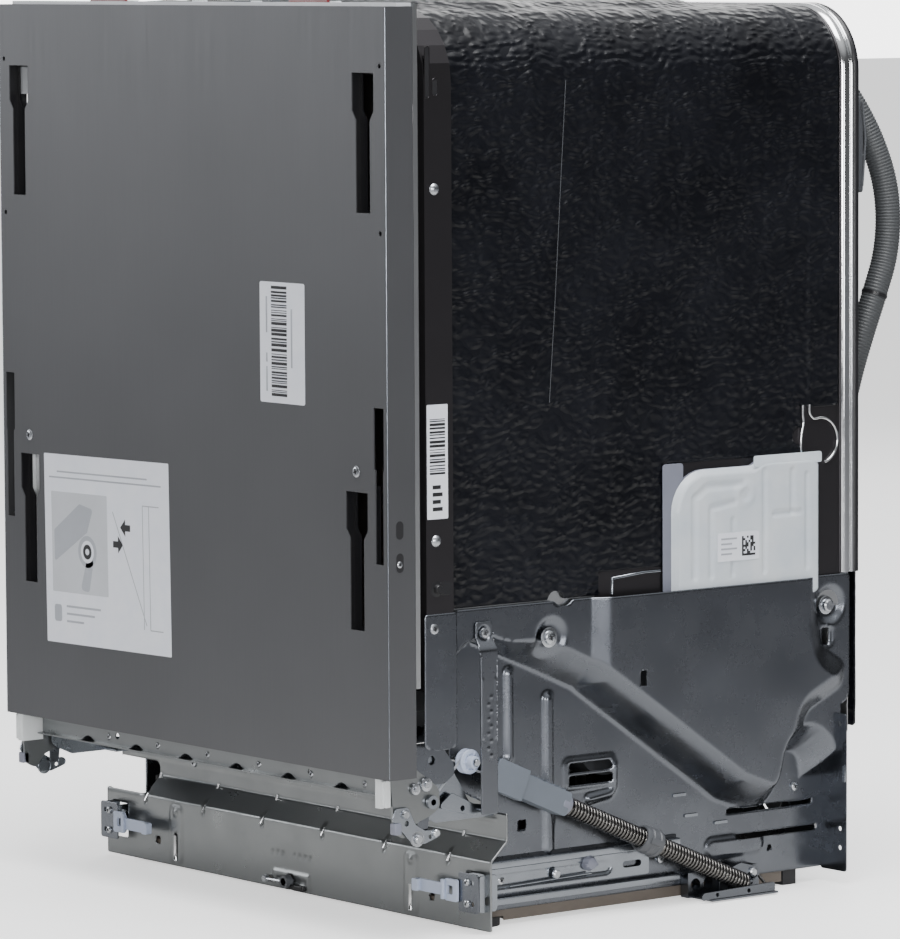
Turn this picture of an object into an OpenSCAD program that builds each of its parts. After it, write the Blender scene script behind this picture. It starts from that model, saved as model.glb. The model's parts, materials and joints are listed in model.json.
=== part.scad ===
// Built-in dishwasher without its furniture front: a spring-balanced drop-down door, a stainless tub
// wrapped in sound-deadening mat, and a pressed steel base with a recessed plinth.
// Millimetres. X runs to the right, Y from the door to the back, Z up from the floor.

/* [Body] */
// Width over the door and the base
body_w = 596; // [560:1:640]
// Height from the floor to the top of the door skin
body_h = 818; // [780:1:880]
// Depth from the door skin to the back of the tub
body_d = 558; // [520:1:620]
// Thickness of the sheet steel
sheet = 1.2; // [0.8:0.1:1.5]
// Radius of the tub's upper corners
tub_corner_r = 60; // [40:1:80]
// Clearance between pieces that only touch
gap = 0.4; // [0.3:0.1:0.6]

/* [Door] */
// Depth of the folded edge of the door skin
door_t = 30; // [26:1:32]
// Height of the door skin's lower edge above the floor
door_z0 = 148; // [140:1:156]
// How far the door liner's raised face reaches into the tub
liner_rise = 14; // [8:1:15]
// Width of a furniture hook slot at its wide end
hook_slot_w = 31; // [24:1:34]
// Height of a furniture hook slot
hook_slot_h = 121; // [100:1:130]
// Radius of the furniture panel screw holes
panel_hole_r = 2.2; // [1.6:0.1:3]

/* [Hinge and door balance] */
// Distance of the hinge axis behind the door skin
hinge_y = 52; // [48:1:56]
// Height of the hinge axis
hinge_z = 124; // [118:1:128]
// Radius of the hinge pin
hinge_pin_r = 4; // [3:0.5:5]
// Running clearance of pins and shafts
running = 0.06; // [0.03:0.01:0.08]
// Outer radius of the balance spring
spring_r = 10; // [8:0.5:10.5]

/* [Tub and racks] */
// Height of the ledge that joins the tub wrap to the tub floor
ledge_z = 262; // [256:1:270]
// Thickness of the sound-deadening mat
mat_t = 3; // [2:0.5:4]
// Radius of the rack wires
wire_r = 2.2; // [1.6:0.1:2.6]
// Height of the lower rack's sides
lower_rack_h = 104; // [80:1:130]
// Height of the upper rack's sides
upper_rack_h = 110; // [80:1:140]
// Radius swept by the lower spray arm
arm_r = 222; // [180:1:226]

/* [Base] */
// Height of the base side panels
base_h = 290; // [280:1:300]
// How far the plinth stands back from the door skin
plinth_y = 113; // [106:1:120]
// Height of the plinth's upright face
plinth_h = 65; // [56:1:72]
// Radius of a foot's disc
foot_r = 19; // [15:1:22]
// Radius of a foot's threaded stem
stem_r = 5; // [4:0.5:6]
// Radius of the drain hose
hose_r = 12; // [10:0.5:13]

/* [Hidden] */

$fn = 48;
ARC_STEPS = 6;
EPS = 1;                     // how far a cut runs past the face it opens

half_w = body_w / 2;
mid_y = body_d * 0.54;       // centre of the tub floor, the sump and the spray arms

// Door
liner_y = door_t + 4.6;                    // front face of the liner's flange
liner_z0 = 226;
liner_face_y = liner_y + sheet + liner_rise;
liner_half = half_w - 36;                  // half width of the liner's raised face
frame_y = liner_face_y - 7;                // front face of the tub's front frame
frame_d = 30;                              // depth of the front frame's box section
console_z0 = body_h - 84;
console_top = body_h + 3;
hook_upper_z = body_h - 57;                // top of the upper hook slots
hook_lower_z = body_h - 421;               // top of the lower hook slots
hook_upper_x = half_w - 32;
hook_lower_x = half_w - 44;
hook_neck = 33;                            // height of the wide part of a hook slot
hook_narrow_w = hook_slot_w - 11;
fix_screw = [hook_lower_x, body_h - 403];  // screw that holds the skin to its inner plates
panel_hole_x = half_w - 8;
panel_hole_z = [body_h - 51, body_h - 195];
dispenser_z = body_h - 290;                // centre of the dispenser
dispenser_size = [150, 112];
lid_travel = 50;
button_w = 16;
button_d = 9;
button_y = door_t - 6;
button_x = [60, 100, 140];

// Tub
frame_half = half_w - 1;
frame_top = body_h - 2;
tub_half = half_w - 14;
tub_top = body_h - 6;
tub_y0 = frame_y + frame_d + gap;
tub_y1 = body_d - 12;
open_half = liner_half + 15;               // half width of the door opening
open_z0 = ledge_z - 22;
open_z1 = body_h - 32;
pan_half = tub_half - 24;                  // half width of the tub floor's pan
pan_z0 = ledge_z - 62;
pan_y0 = frame_y + frame_d / 2;
mat_half = tub_half + gap + mat_t;

// Base
guard_y = hinge_y + 60;                    // middle of the guard strap beside the roller
front_level = mat_half + gap;              // the base panel's plane in front of its bulge
bulge_level = half_w - 1;                  // the plane of its bulge
recess_level = half_w - 36;                // the plane of the spring recess
plate_x = recess_level - sheet;
rear_flange_y = body_d - 24;               // upright flange at the back of the base side panels
plinth_slope = 18;                         // how far the plinth's sloping part runs back
tray_z0 = 4;
tray_h = 20;
plate_y1 = body_d - 52;                    // back edge of the lower side plates
back_y = body_d - 30;                      // the base's back panel

// Spring line in the Y-Z plane, from the anchor upwards to the roller
coupler_r = spring_r + 2.4;
runner_d = 7;                              // depth of a plinth runner's channel
spring_x = recess_level + runner_d + coupler_r + 1.6;
anchor_p = [430, 12];
spring_dir = [-239, 101] / norm([-239, 101]);
spring_len = 256;
tensioner_len = 62;
roller_p = [98, 155];
roller_r = 11;
water_y = [329, 508];                      // front and back of the water box

// Feet
foot_x = 245;
foot_y = plinth_y + 27;
rear_foot_y = body_d - 78;
socket_z0 = 12;
shaft_z = socket_z0 - 1;

// Racks
rack_y0 = liner_face_y + 10;
rack_y1 = tub_y1 - 16;
lower_rack_z = ledge_z + 24;
upper_rack_z = body_h - 300;
lower_rack_half = pan_half - 8;
upper_rack_half = tub_half - 34;
wheel_r = 14;

// Drain hose as [x, distance behind the body, z], chosen by hand: from the back of the base up, out and
// over, and down to its end cuff
HOSE = [[200, -12, 72], [200, -2, 72], [200, 8, 75], [201, 15, 83], [202, 18, 95], [203, 18, 112],
  [206, 18, 150], [210, 18, 200],
  [216, 18, 260], [224, 18, 320], [232, 18, 380], [241, 20, 430], [248, 25, 470], [254, 34, 508],
  [258, 46, 545], [260, 57, 580], [260, 61, 615], [258, 58, 650], [253, 48, 685], [244, 36, 716],
  [230, 26, 742], [210, 20, 762], [184, 18, 776], [154, 18, 783], [122, 18, 784], [90, 18, 779],
  [62, 18, 766], [40, 18, 747], [26, 18, 722], [18, 18, 692], [14, 18, 650], [12, 18, 600],
  [10, 18, 540], [8, 18, 480], [6, 18, 420], [4, 18, 360], [2, 18, 300], [0, 18, 240]];
hose_y = body_d + 18;                      // plane of the hose against the back

// ---- Outlines and placing ----

function unit(v) = v / norm(v);
function turn(a) = a > 180 ? a - 360 : a < -180 ? a + 360 : a;

// The corner b between a and c, rounded to radius r
function corner(a, b, c, r) = r <= 0 ? [b] :
  let (u = unit(a - b), v = unit(c - b), half = acos(u * v) / 2,
    m = b + unit(u + v) * r / sin(half),
    s = b + u * r / tan(half) - m,
    e = b + v * r / tan(half) - m,
    a0 = atan2(s.y, s.x),
    da = turn(atan2(e.y, e.x) - a0))
  [for (i = [0 : ARC_STEPS]) m + r * [cos(a0 + da * i / ARC_STEPS), sin(a0 + da * i / ARC_STEPS)]];

function flat(p) = [p.x, p.y];

// An outline of [x, y, corner radius] points
function rounded(p) = let (n = len(p))
  [for (i = [0 : n - 1]) each corner(flat(p[(i + n - 1) % n]), flat(p[i]), flat(p[(i + 1) % n]), p[i][2])];

// The same outline moved inwards by d; its points run anticlockwise
function inset(p, d) = let (n = len(p))
  [for (i = [0 : n - 1])
    let (a = unit(flat(p[i]) - flat(p[(i + n - 1) % n])), b = unit(flat(p[(i + 1) % n]) - flat(p[i])),
      na = [-a.y, a.x], nb = [-b.y, b.x],
      q = flat(p[i]) + (na + nb) * d / (1 + na * nb))
    [q.x, q.y, p[i][2]]];

function box_outline(x0, y0, x1, y1, r) = [[x0, y0, r], [x1, y0, r], [x1, y1, r], [x0, y1, r]];

// The tub's cross-section: square below, round above
function arch(half, z0, z1, r) = [[-half, z0, 0], [half, z0, 0], [half, z1, r], [-half, z1, r]];

module along_x(x0, x1) translate([x0, 0, 0]) rotate([90, 0, 90]) linear_extrude(x1 - x0) children();
module along_y(y0, y1) translate([0, y1, 0]) rotate([90, 0, 0]) linear_extrude(y1 - y0) children();
module block(x, y, z) translate([x[0], y[0], z[0]]) cube([x[1] - x[0], y[1] - y[0], z[1] - z[0]]);
module rod_x(x0, x1, y, z, r) translate([x0, y, z]) rotate([0, 90, 0]) cylinder(r = r, h = x1 - x0);
module rod_y(y0, y1, x, z, r) translate([x, y0, z]) rotate([-90, 0, 0]) cylinder(r = r, h = y1 - y0);
module rod_z(z0, z1, x, y, r) translate([x, y, z0]) cylinder(r = r, h = z1 - z0);
module both_sides() {
  children();
  mirror([1, 0, 0]) children();
}
// Everything is drawn from the door skin's face and then centred over the floor
module place() translate([0, -(body_d - 1 + gap + 34 - 1.6) / 2, 0]) children();

// A pressed pan with an open inner side: its rim at x0, its face at x1
module pan(p, x0, x1) difference() {
  along_x(x0, x1) polygon(rounded(p));
  along_x(x0 - EPS, x1 - sheet) polygon(rounded(inset(p, sheet)));
}

// ---- Door ----

// Keyhole for a furniture hook, with its top at z
module hook_slot(x, z, grow) {
  w = hook_slot_w / 2 - grow;
  n = hook_narrow_w / 2 - grow;
  translate([x, z]) polygon([[-w, -grow], [-w, -hook_neck], [-n, -hook_neck - 8],
    [-n, grow - hook_slot_h], [n, grow - hook_slot_h], [n, -hook_neck - 8], [w, -hook_neck], [w, -grow]]);
}

module hook_slots(grow) both_sides() {
  hook_slot(hook_upper_x, hook_upper_z, grow);
  hook_slot(hook_lower_x, hook_lower_z, grow);
}

module door_outer_panel() color("dimgray") difference() {
  block([-half_w, half_w], [0, door_t], [door_z0, body_h]);
  block([sheet - half_w, half_w - sheet], [sheet, door_t + EPS], [door_z0 + sheet, body_h - sheet]);
  block([sheet - half_w, half_w - sheet], [14, door_t + EPS], [door_z0 + sheet, body_h + EPS]);
  block([sheet - half_w, half_w - sheet], [14, door_t + EPS], [door_z0 - EPS, body_h]);
  along_y(-EPS, sheet + EPS) hook_slots(0);
  both_sides() {
    block([half_w - 25, half_w - sheet], [sheet, door_t], [door_z0 - EPS, door_z0 + 2 * sheet]);
    block([half_w - 19, half_w - 5], [-EPS, sheet + EPS], [body_h - 400, body_h - 346]);
    block([half_w - 17, half_w - 6], [-EPS, sheet + EPS], [body_h - 482, body_h - 399]);
    for (z = panel_hole_z) rod_y(-EPS, sheet + EPS, panel_hole_x, z, panel_hole_r);
    rod_y(-EPS, sheet + EPS, fix_screw.x, fix_screw.y, 2.5);
    for (z = [body_h - 452, body_h - 480]) {
      for (dz = [-4, 4]) rod_x(half_w - sheet - EPS, half_w + EPS, 13, z + dz, 4);
      block([half_w - sheet - EPS, half_w + EPS], [9, 17], [z - 4, z + 4]);
    }
  }
}

module door_inner_panel() color("silver") {
  face = box_outline(-liner_half, liner_z0 + 20, liner_half, console_z0 + 38, 30);
  w = dispenser_size / 2;
  difference() {
    union() {
      block([1 - half_w, half_w - 1], [liner_y, liner_y + sheet], [liner_z0, console_top - 1]);
      both_sides() block([half_w - 1 - sheet, half_w - 1], [door_t + 1, liner_y + sheet / 2],
        [liner_z0, console_top - 1]);
      along_y(liner_y, liner_face_y) polygon(rounded(face));
    }
    along_y(liner_y - EPS, liner_face_y - sheet) polygon(rounded(inset(face, sheet)));
    block([-w.x - gap, w.x + gap], [liner_face_y - 2 * sheet, liner_face_y + EPS],
      [dispenser_z - w.y - gap, dispenser_z + w.y + gap]);
  }
}

module door_console() color("whitesmoke") difference() {
  union() {
    block([2 - half_w, half_w - 2], [14 + gap, door_t], [body_h - 46, console_top]);
    both_sides() block([half_w - 34, half_w - 2], [14 + gap, door_t], [console_z0, body_h - 45]);
  }
  block([4.5 - half_w, half_w - 4.5], [17, door_t - 2.5], [body_h - 47, console_top - 6]);
  for (x = button_x)
    block([x - button_w / 2 - gap, x + button_w / 2 + gap],
      [button_y - button_d / 2 - gap, button_y + button_d / 2 + gap], [console_top - 8, console_top + EPS]);
}

// Two dark red protective tabs that lie on the console
module console_tabs() color("darkred")
  for (x = [-140, 168]) block([x - 28, x + 28], [15, door_t - 12], [console_top + 0.1, console_top + 3.6]);

module push_button(x) color("silver")
  block([x - button_w / 2, x + button_w / 2], [button_y - button_d / 2, button_y + button_d / 2],
    [console_top - 5.5, console_top + 1.6]);

module door_bottom_rail() color("lightgray") {
  w = half_w - 24;
  difference() {
    union() {
      block([-w, w], [door_t - 6, door_t - 6 + sheet], [door_z0 - 20, liner_z0 + 10]);
      block([-w, w], [door_t - 12, door_t - 6 + sheet / 2], [door_z0 - 20, door_z0 - 20 + sheet]);
    }
    for (x = [-150, 150]) rod_y(door_t - 6 - EPS, door_t, x, door_z0 - 10, 3);
  }
}

// Slotted plates behind the skin that carry the furniture panel's hooks
module hook_plates() color("gray") for (z = [hook_upper_z, hook_lower_z]) both_sides() {
  x = z == hook_upper_z ? hook_upper_x : hook_lower_x;
  w = hook_slot_w / 2 + 3.5;
  y0 = 5;
  difference() {
    block([x - w, x + w], [sheet + gap, y0 + 7], [z - hook_slot_h - 6, z + 6]);
    block([x - w + sheet, x + w - sheet], [sheet + gap - EPS, y0 + 7 - sheet],
      [z - hook_slot_h - 5, z + 5]);
    along_y(y0, y0 + 9) hook_slot(x, z, 1.5);
  }
}

module door_insulation() color("saddlebrown")
  block([76 - half_w, half_w - 76], [sheet + gap, 10], [door_z0 + 22, body_h - 60]);

module door_screws() color("silver") both_sides() {
  translate([fix_screw.x, -1.6, fix_screw.y]) rotate([-90, 0, 0])
      cylinder(r1 = 3.6, r2 = 5.2, h = 1.6 - gap / 4);
  rod_y(-gap / 4 - 0.1, sheet + 3, fix_screw.x, fix_screw.y, 2.2);
  rod_x(half_w - sheet - 4, half_w - sheet - gap, 13, body_h - 484, 3);
}

// Door lever: flat bar inside the door's side, with an eye on the hinge pin and a short tail
module hinge_arm() color("silver") {
  x0 = half_w - 12;
  difference() {
    along_x(x0, x0 + 3) polygon(rounded([[8, 262, 2], [8, 152, 6], [12, 100, 5], [24, 93, 6],
      [34, 106, 6], [hinge_y - 2, hinge_z - 13, 7], [hinge_y + 11, hinge_z - 6, 8],
      [hinge_y + 9, hinge_z + 12, 8], [28, 160, 6], [26, 262, 2]]));
    rod_x(x0 - EPS, x0 + 4, hinge_y, hinge_z, hinge_pin_r + running);
  }
  rod_x(x0 - 3, x0 - gap / 2, 17, 132, 5);
}

module hinge_covers() color("honeydew") both_sides()
  difference() {
    block([half_w - 23, half_w - 15], [2, 25], [door_z0 - 26, door_z0 - gap]);
    block([half_w - 21, half_w - 14], [5, 25 + EPS], [door_z0 - 27, door_z0 - 3]);
  }

module detergent_dispenser() color("gainsboro") {
  w = dispenser_size / 2;
  y1 = liner_face_y + 0.6;
  difference() {
    block([-w.x, w.x], [14, y1], [dispenser_z - w.y, dispenser_z + w.y]);
    block([-w.x + 12, 2], [20, y1 + EPS], [dispenser_z - 38, dispenser_z + 38]);
    rod_y(30, y1 + EPS, 44, dispenser_z + 18, 17);
  }
}

// The lid slides sideways in front of the detergent cup
module dispenser_lid() color("white") {
  y0 = liner_face_y + 0.6 + gap;
  x0 = 8 - dispenser_size.x / 2;
  difference() {
    union() {
      block([x0, 6], [y0, y0 + 2], [dispenser_z - 42, dispenser_z + 42]);
      block([-26, -12], [y0 + 1, y0 + 5], [dispenser_z - 12, dispenser_z + 12]);
    }
    block([-23, -15], [y0 + 2.5, y0 + 6], [dispenser_z - 9, dispenser_z + 9]);
  }
}

module rinse_aid_cap() color("lightsteelblue") {
  y1 = liner_face_y + 3;
  rod_y(36, y1, 44, dispenser_z + 18, 16);
  block([42, 46], [y1 - 0.5, y1 + 3.5], [dispenser_z + 5, dispenser_z + 31]);
}

// ---- Tub ----

module front_frame() color("darkgray") {
  outer = arch(frame_half, ledge_z - 40, frame_top, tub_corner_r + 4);
  difference() {
    along_y(frame_y, frame_y + frame_d) polygon(rounded(outer));
    along_y(frame_y + sheet, frame_y + frame_d - sheet)
      polygon(rounded(arch(frame_half - sheet, ledge_z - 41, frame_top - sheet, tub_corner_r + 3)));
    along_y(frame_y - EPS, frame_y + frame_d / 2)
      polygon(rounded(box_outline(-open_half, open_z0, open_half, open_z1, 30)));
    along_y(frame_y + frame_d / 2, frame_y + frame_d + EPS)
      polygon(rounded(arch(tub_half - sheet, ledge_z - 42, tub_top - sheet, tub_corner_r - sheet)));
    both_sides() {
      for (z = [body_h - 158, body_h - 464, body_h - 506, body_h - 541])
        rod_x(half_w - 6, half_w + EPS, frame_y + 11, z, 2.6);
      block([tub_half - 2 * sheet, front_level + gap], [frame_y + 2, frame_y + frame_d + EPS],
        [ledge_z - 42, base_h + gap]);
      block([half_w - 6, half_w + EPS], [frame_y + 1.6, frame_y + 5], [body_h - 78, body_h - 40]);
      block([half_w - 6, half_w + EPS], [frame_y + 10, frame_y + 14], [body_h - 77, body_h - 63]);
    }
  }
}

module tub_wrap() color("silver") difference() {
  along_y(tub_y0, tub_y1) polygon(rounded(arch(tub_half, ledge_z, tub_top, tub_corner_r)));
  along_y(tub_y0 - EPS, tub_y1 + EPS)
    polygon(rounded(arch(tub_half - sheet, ledge_z - EPS, tub_top - sheet, tub_corner_r - sheet)));
}

module tub_floor() color("silver") difference() {
  union() {
    block([-pan_half, pan_half], [pan_y0, tub_y1], [pan_z0, ledge_z - gap]);
    block([-tub_half, tub_half], [tub_y0, tub_y1], [ledge_z - gap - sheet, ledge_z - gap]);
  }
  block([sheet - pan_half, pan_half - sheet], [pan_y0 + sheet, tub_y1 - sheet],
    [pan_z0 + sheet, ledge_z + EPS]);
  block([-pan_half - EPS, pan_half + EPS], [pan_y0 - EPS, tub_y0], [open_z0 - 2, ledge_z + EPS]);
  rod_z(pan_z0 - EPS, pan_z0 + 2 * sheet, 0, mid_y, 66);
}

module tub_back() color("silver")
  along_y(tub_y1 + gap, tub_y1 + gap + sheet)
    polygon(rounded(arch(tub_half, ledge_z - 120, tub_top, tub_corner_r)));

// Polished seam bead round the back of the tub
module rear_flange() color("gainsboro") {
  y0 = tub_y1 - 11;
  y1 = tub_y1 + 7;
  difference() {
    along_y(y0, y1) polygon(rounded(arch(tub_half + 5, base_h + 1, tub_top + 4.5, tub_corner_r + 4)));
    along_y(y0 - EPS, y1 + EPS)
      polygon(rounded(arch(tub_half + gap, base_h, tub_top + gap, tub_corner_r + gap)));
    along_y(y0 - EPS, y0 + 5)
      polygon(rounded(arch(tub_half + 2.5, base_h, tub_top + 2.5, tub_corner_r + 2)));
  }
}

// Rubber seal round the door opening, on the front frame's face
module door_seal() color("black") difference() {
  y0 = liner_y + sheet + 0.6;
  along_y(y0, frame_y - 0.1)
    polygon(rounded(box_outline(-open_half - 12, open_z0 - 12, open_half + 12, open_z1 + 12, 34)));
  along_y(y0 - EPS, frame_y + EPS)
    polygon(rounded(box_outline(-open_half - 1, open_z0 - 1, open_half + 1, open_z1 + 1, 30)));
}

// Sound-deadening mat over both sides and the top, cut away round the water box
module sound_mat() color("black") difference() {
  along_y(tub_y0 + gap, tub_y1 - 11 - gap)
    polygon(rounded(arch(mat_half, base_h + 1, tub_top + gap + mat_t, tub_corner_r + mat_t)));
  along_y(tub_y0 - EPS, tub_y1)
    polygon(rounded(arch(tub_half + gap, base_h, tub_top + gap, tub_corner_r + gap)));
  along_x(half_w - 40, half_w) polygon([[246, base_h], [246, 312], [321, 312], [321, 406],
    [488, 406], [488, 448], [body_d, 448], [body_d, base_h]]);
}

module rear_mat() color("black")
  along_y(tub_y1 + 7 + gap, body_d - 1)
    polygon(rounded(arch(tub_half + 4, ledge_z - 116, tub_top + 3, tub_corner_r + 2)));

// ---- Base ----

// The side panel's plane in front of the bulge, and the bulge, as outlines in Y and Z
FRONT_PLANE = [[50, 172, 4], [88, 172, 10], [94, 242, 22], [128, 242, 24], [396, 58, 34], [472, 58, 30],
  [488, 122, 20], [503, 154, 18], [body_d - 12, 160, 14], [body_d - 12, base_h, 3], [50, base_h, 3]];
BULGE = [[236, 182, 5], [403, 66, 40], [468, 66, 34], [483, 126, 20], [500, 162, 18], [538, 168, 12],
  [538, 210, 12], [508, 228, 14], [508, base_h - 3, 3], [236, base_h - 3, 6]];

module base_panel() color("silver") {
  difference() {
    union() {
      pan(FRONT_PLANE, plate_x, front_level);
      along_x(plate_x, recess_level) polygon(rounded([[94, ledge_z - 6, 2], [94, 150, 10],
        [104, 126, 8], [134, 112, 4], [134, 22, 2], [rear_flange_y + sheet, 12, 2], [rear_flange_y + sheet, 170, 2], [480, 200, 2],
        [440, ledge_z - 6, 2]]));
    }
    along_x(plate_x - EPS, front_level - sheet) polygon(rounded(inset(FRONT_PLANE, sheet)));
    along_x(front_level - 2 * sheet, front_level + EPS) polygon(rounded(inset(BULGE, sheet)));
    // clear of the tub wrap, and open above for the water box
    block([plate_x - EPS, tub_half + gap], [40, body_d], [ledge_z - 4, base_h + EPS]);
    block([plate_x, front_level + EPS], [water_y[0] - 1, water_y[1] + 1], [base_h - 6, base_h + EPS]);
    // window, square hole and the two slots of the rear bracket
    block([plate_x - EPS, recess_level + EPS], [230, 278], [118, 138]);
    block([plate_x - EPS, recess_level + EPS], [172, 181], [84, 93]);
    block([plate_x - EPS, recess_level + EPS], [418, 522], [74, 79]);
    block([plate_x - EPS, recess_level + EPS], [428, 528], [49, 55]);
    rod_x(plate_x - EPS, recess_level + EPS, 470, 38, 2.5);
    rod_x(front_level - 3, front_level + EPS, 524, 234, 8);
    rod_x(plate_x - EPS, recess_level + EPS, roller_p.x, roller_p.y, 3.3);
  }
  difference() {
    pan(BULGE, front_level - sheet, bulge_level);
    block([bulge_level - 3, bulge_level + EPS], [286, 293], [206, 221]);
    block([plate_x, bulge_level - sheet], [water_y[0] - 1, water_y[1] + 1], [base_h - 6, base_h + EPS]);
  }
  // upright flange at the back corner
  block([plate_x, bulge_level], [rear_flange_y, rear_flange_y + sheet], [12, 150]);
}

// Upright face, slope and upper face, bent from one sheet, with its left shoulder cut away
module plinth_panel() color("lightslategray") {
  t = sheet;
  y0 = plinth_y;
  y1 = plinth_y + plinth_slope;
  z1 = plinth_h;
  z2 = plinth_h + 17;
  top = hinge_z + 2;
  w = bulge_level;
  difference() {
    along_x(-w, w) polygon([[y0, 2], [y0, z1], [y1, z2], [y1, top], [y1 + t, top], [y1 + t, z2 - t / 2],
      [y0 + t, z1 - t / 2], [y0 + t, 2]]);
    block([-w - EPS, -w + 64], [y0 - EPS, y1 + 3], [z1 + 1, z1 + 30]);
    both_sides() {
      rod_y(y0 - EPS, y0 + 3, 212, 24, 4);
      block([180, 184], [y0 - EPS, y0 + 3], [8, 34]);
      block([half_w - 38, half_w - 8], [y0 - EPS, y0 + 3], [20, 53]);
      block([recess_level - 2, half_w], [y1 - EPS, y1 + 3], [z2 + 24, top + EPS]);
    }
    rod_y(y0 - EPS, y0 + 3, 0, shaft_z, 7);
  }
}

module base_tray() color("rosybrown") {
  y0 = plinth_y + sheet + 1;
  w = plate_x - gap;
  z1 = tray_z0 + tray_h;
  difference() {
    block([-w, w], [y0, plate_y1 - 20], [tray_z0, z1]);
    block([2.5 - w, w - 2.5], [y0 + 2.5, plate_y1 - 22.5], [tray_z0 + 2.5, z1 + EPS]);
    for (x = [-foot_x, foot_x]) rod_z(tray_z0 - EPS, tray_z0 + 4, x, foot_y, foot_r + 3);
    rod_z(tray_z0 - EPS, tray_z0 + 4, 0, rear_foot_y - 20, foot_r + 3);
    rod_y(y0 - EPS, y0 + 4, 0, shaft_z, 5);
  }
  for (p = [[-foot_x, foot_y], [foot_x, foot_y], [0, rear_foot_y - 20]]) difference() {
    block([p.x - 14, p.x + 14], [p.y - 16, p.y + 16], [socket_z0 + 3, z1]);
    rod_z(socket_z0, z1 + EPS, p.x, p.y, stem_r + 0.3);
    if (p.x == 0) block([-6, 6], [p.y - 17, p.y - 10], [socket_z0, z1 + EPS]);
  }
  // cross ribs that tie the sockets to the tray's side walls
  for (y = [foot_y, rear_foot_y - 20]) difference() {
    block([1 - w, w - 1], [y + stem_r + 3, y + stem_r + 5.5], [socket_z0 + 3, z1 - 1]);
    rod_y(y, y + 20, 0, shaft_z, 5);
  }
}

module base_back_panel() color("silver") difference() {
  block([-plate_x + gap, plate_x - gap], [back_y - sheet, back_y], [14, ledge_z - 124]);
  rod_y(back_y - 4, back_y + EPS, 200, 72, hose_r + 3);
  rod_y(back_y - 4, back_y + EPS, -210, 80, 15);
}

// Bracket that carries the hinge pin
module hinge_bracket() color("lightgray") {
  x0 = half_w - 17;
  along_x(x0, x0 + 2) polygon(rounded([[40, 170, 3], [40, 114, 6], [62, 104, 6], [128, 104, 2],
    [128, 110, 2], [104, 112, 4], [82, 148, 14], [72, 170, 8]]));
  rod_x(x0 + 1, x0 + 12, hinge_y, hinge_z, hinge_pin_r);
  rod_x(x0 + 2, x0 + 4, hinge_y, hinge_z, hinge_pin_r + 3.5);
  rod_x(x0 + 9, x0 + 12, hinge_y, hinge_z, hinge_pin_r + 2);
  rod_x(x0 + 1, x0 + 4.5, 46, 140, 6);
  block([recess_level + gap, x0 + 1], [100, 128], [104, 106]);
}

// Flat strap over the roller and the rope, screwed on above and below
module guard_bracket() color("gray") {
  x1 = half_w;
  t = 1.6;
  y = [guard_y - 10.5, guard_y + 10.5];
  block([x1 - t, x1], y, [108, 254]);
  block([front_level + gap, x1], y, [254, 254 + t]);
  difference() {
    block([front_level + gap, front_level + gap + t], y, [254, 278]);
    rod_x(front_level, front_level + 4, guard_y, 268, 2.6);
  }
  block([recess_level + gap, x1], [guard_y - 6.5, guard_y + 10], [112.6, 112.6 + t]);
}

// ---- Door balance ----

module roller() color("lightsteelblue") difference() {
  union() {
    rod_x(spring_x - 4, spring_x - 2, roller_p.x, roller_p.y, roller_r);
    rod_x(spring_x - 2.5, spring_x + 3.5, roller_p.x, roller_p.y, roller_r - 3);
    rod_x(spring_x + 3, spring_x + 5, roller_p.x, roller_p.y, roller_r);
    rod_x(spring_x + 4.5, spring_x + 12, roller_p.x, roller_p.y, 5.5);
  }
  rod_x(spring_x - 5, spring_x + 9, roller_p.x, roller_p.y, 3 + running);
}

// Places children along the spring line, with local Z running up the line from the anchor
module on_spring(s) translate([spring_x, anchor_p.x + spring_dir.x * s, anchor_p.y + spring_dir.y * s])
  rotate([atan2(-spring_dir.x, spring_dir.y), 0, 0]) children();

module spring_tensioner() color("slategray") on_spring(spring_len - 12) difference() {
  translate([-spring_r, -spring_r - 1.2, 0]) cube([2 * spring_r, 2 * spring_r + 2.4, tensioner_len]);
  translate([0, 0, -EPS]) cylinder(r = spring_r - 3, h = 16 + EPS);
  translate([-spring_r + 3, -spring_r + 1.8, 17])
    cube([2 * spring_r, 2 * spring_r - 3.6, tensioner_len - 20]);
}

module door_spring() color("gray") on_spring(8) difference() {
  cylinder(r = spring_r, h = spring_len - 20 - gap);
  translate([0, 0, -EPS]) cylinder(r = spring_r - 2.2, h = spring_len);
}

module spring_coupler() color("slategray") on_spring(spring_len / 2 - 2) difference() {
  union() {
    cylinder(r = coupler_r, h = 20);
    translate([0, 0, 17]) cylinder(r = coupler_r + 1, h = 3);
  }
  translate([0, 0, -EPS]) cylinder(r = spring_r + 0.5, h = 22);
}

module spring_anchor() color("silver") {
  x1 = spring_x - spring_r - gap;
  difference() {
    block([recess_level + gap / 2, x1], [362, 446], [3, 26]);
    for (y = [371, 386]) rod_x(recess_level - EPS, x1 + EPS, y, 15, 5.5);
  }
  block([recess_level + gap / 2, half_w - 3], [372, 452], [1.5, 3.2]);
  rod_x(recess_level + gap, spring_x + 3, anchor_p.x - 3, anchor_p.y + 1, 2);
}

// ---- Plinth runners ----

module plinth_runner() color("silver") {
  x0 = recess_level + gap / 2;
  x1 = recess_level + runner_d;
  y = [plinth_y + plinth_slope + 4, 356];
  block([x0, x0 + 1.6], y, [20, 62]);
  for (z = [20, 60]) block([x0, x1], y, [z, z + 2]);
  for (z = [21, 54]) block([x1 - 1.4, x1], y, [z, z + 7]);
  for (z = [20, 55]) block([x0, x0 + 20], [y[0] - 2, y[0]], [z, z + 7]);
}

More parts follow.
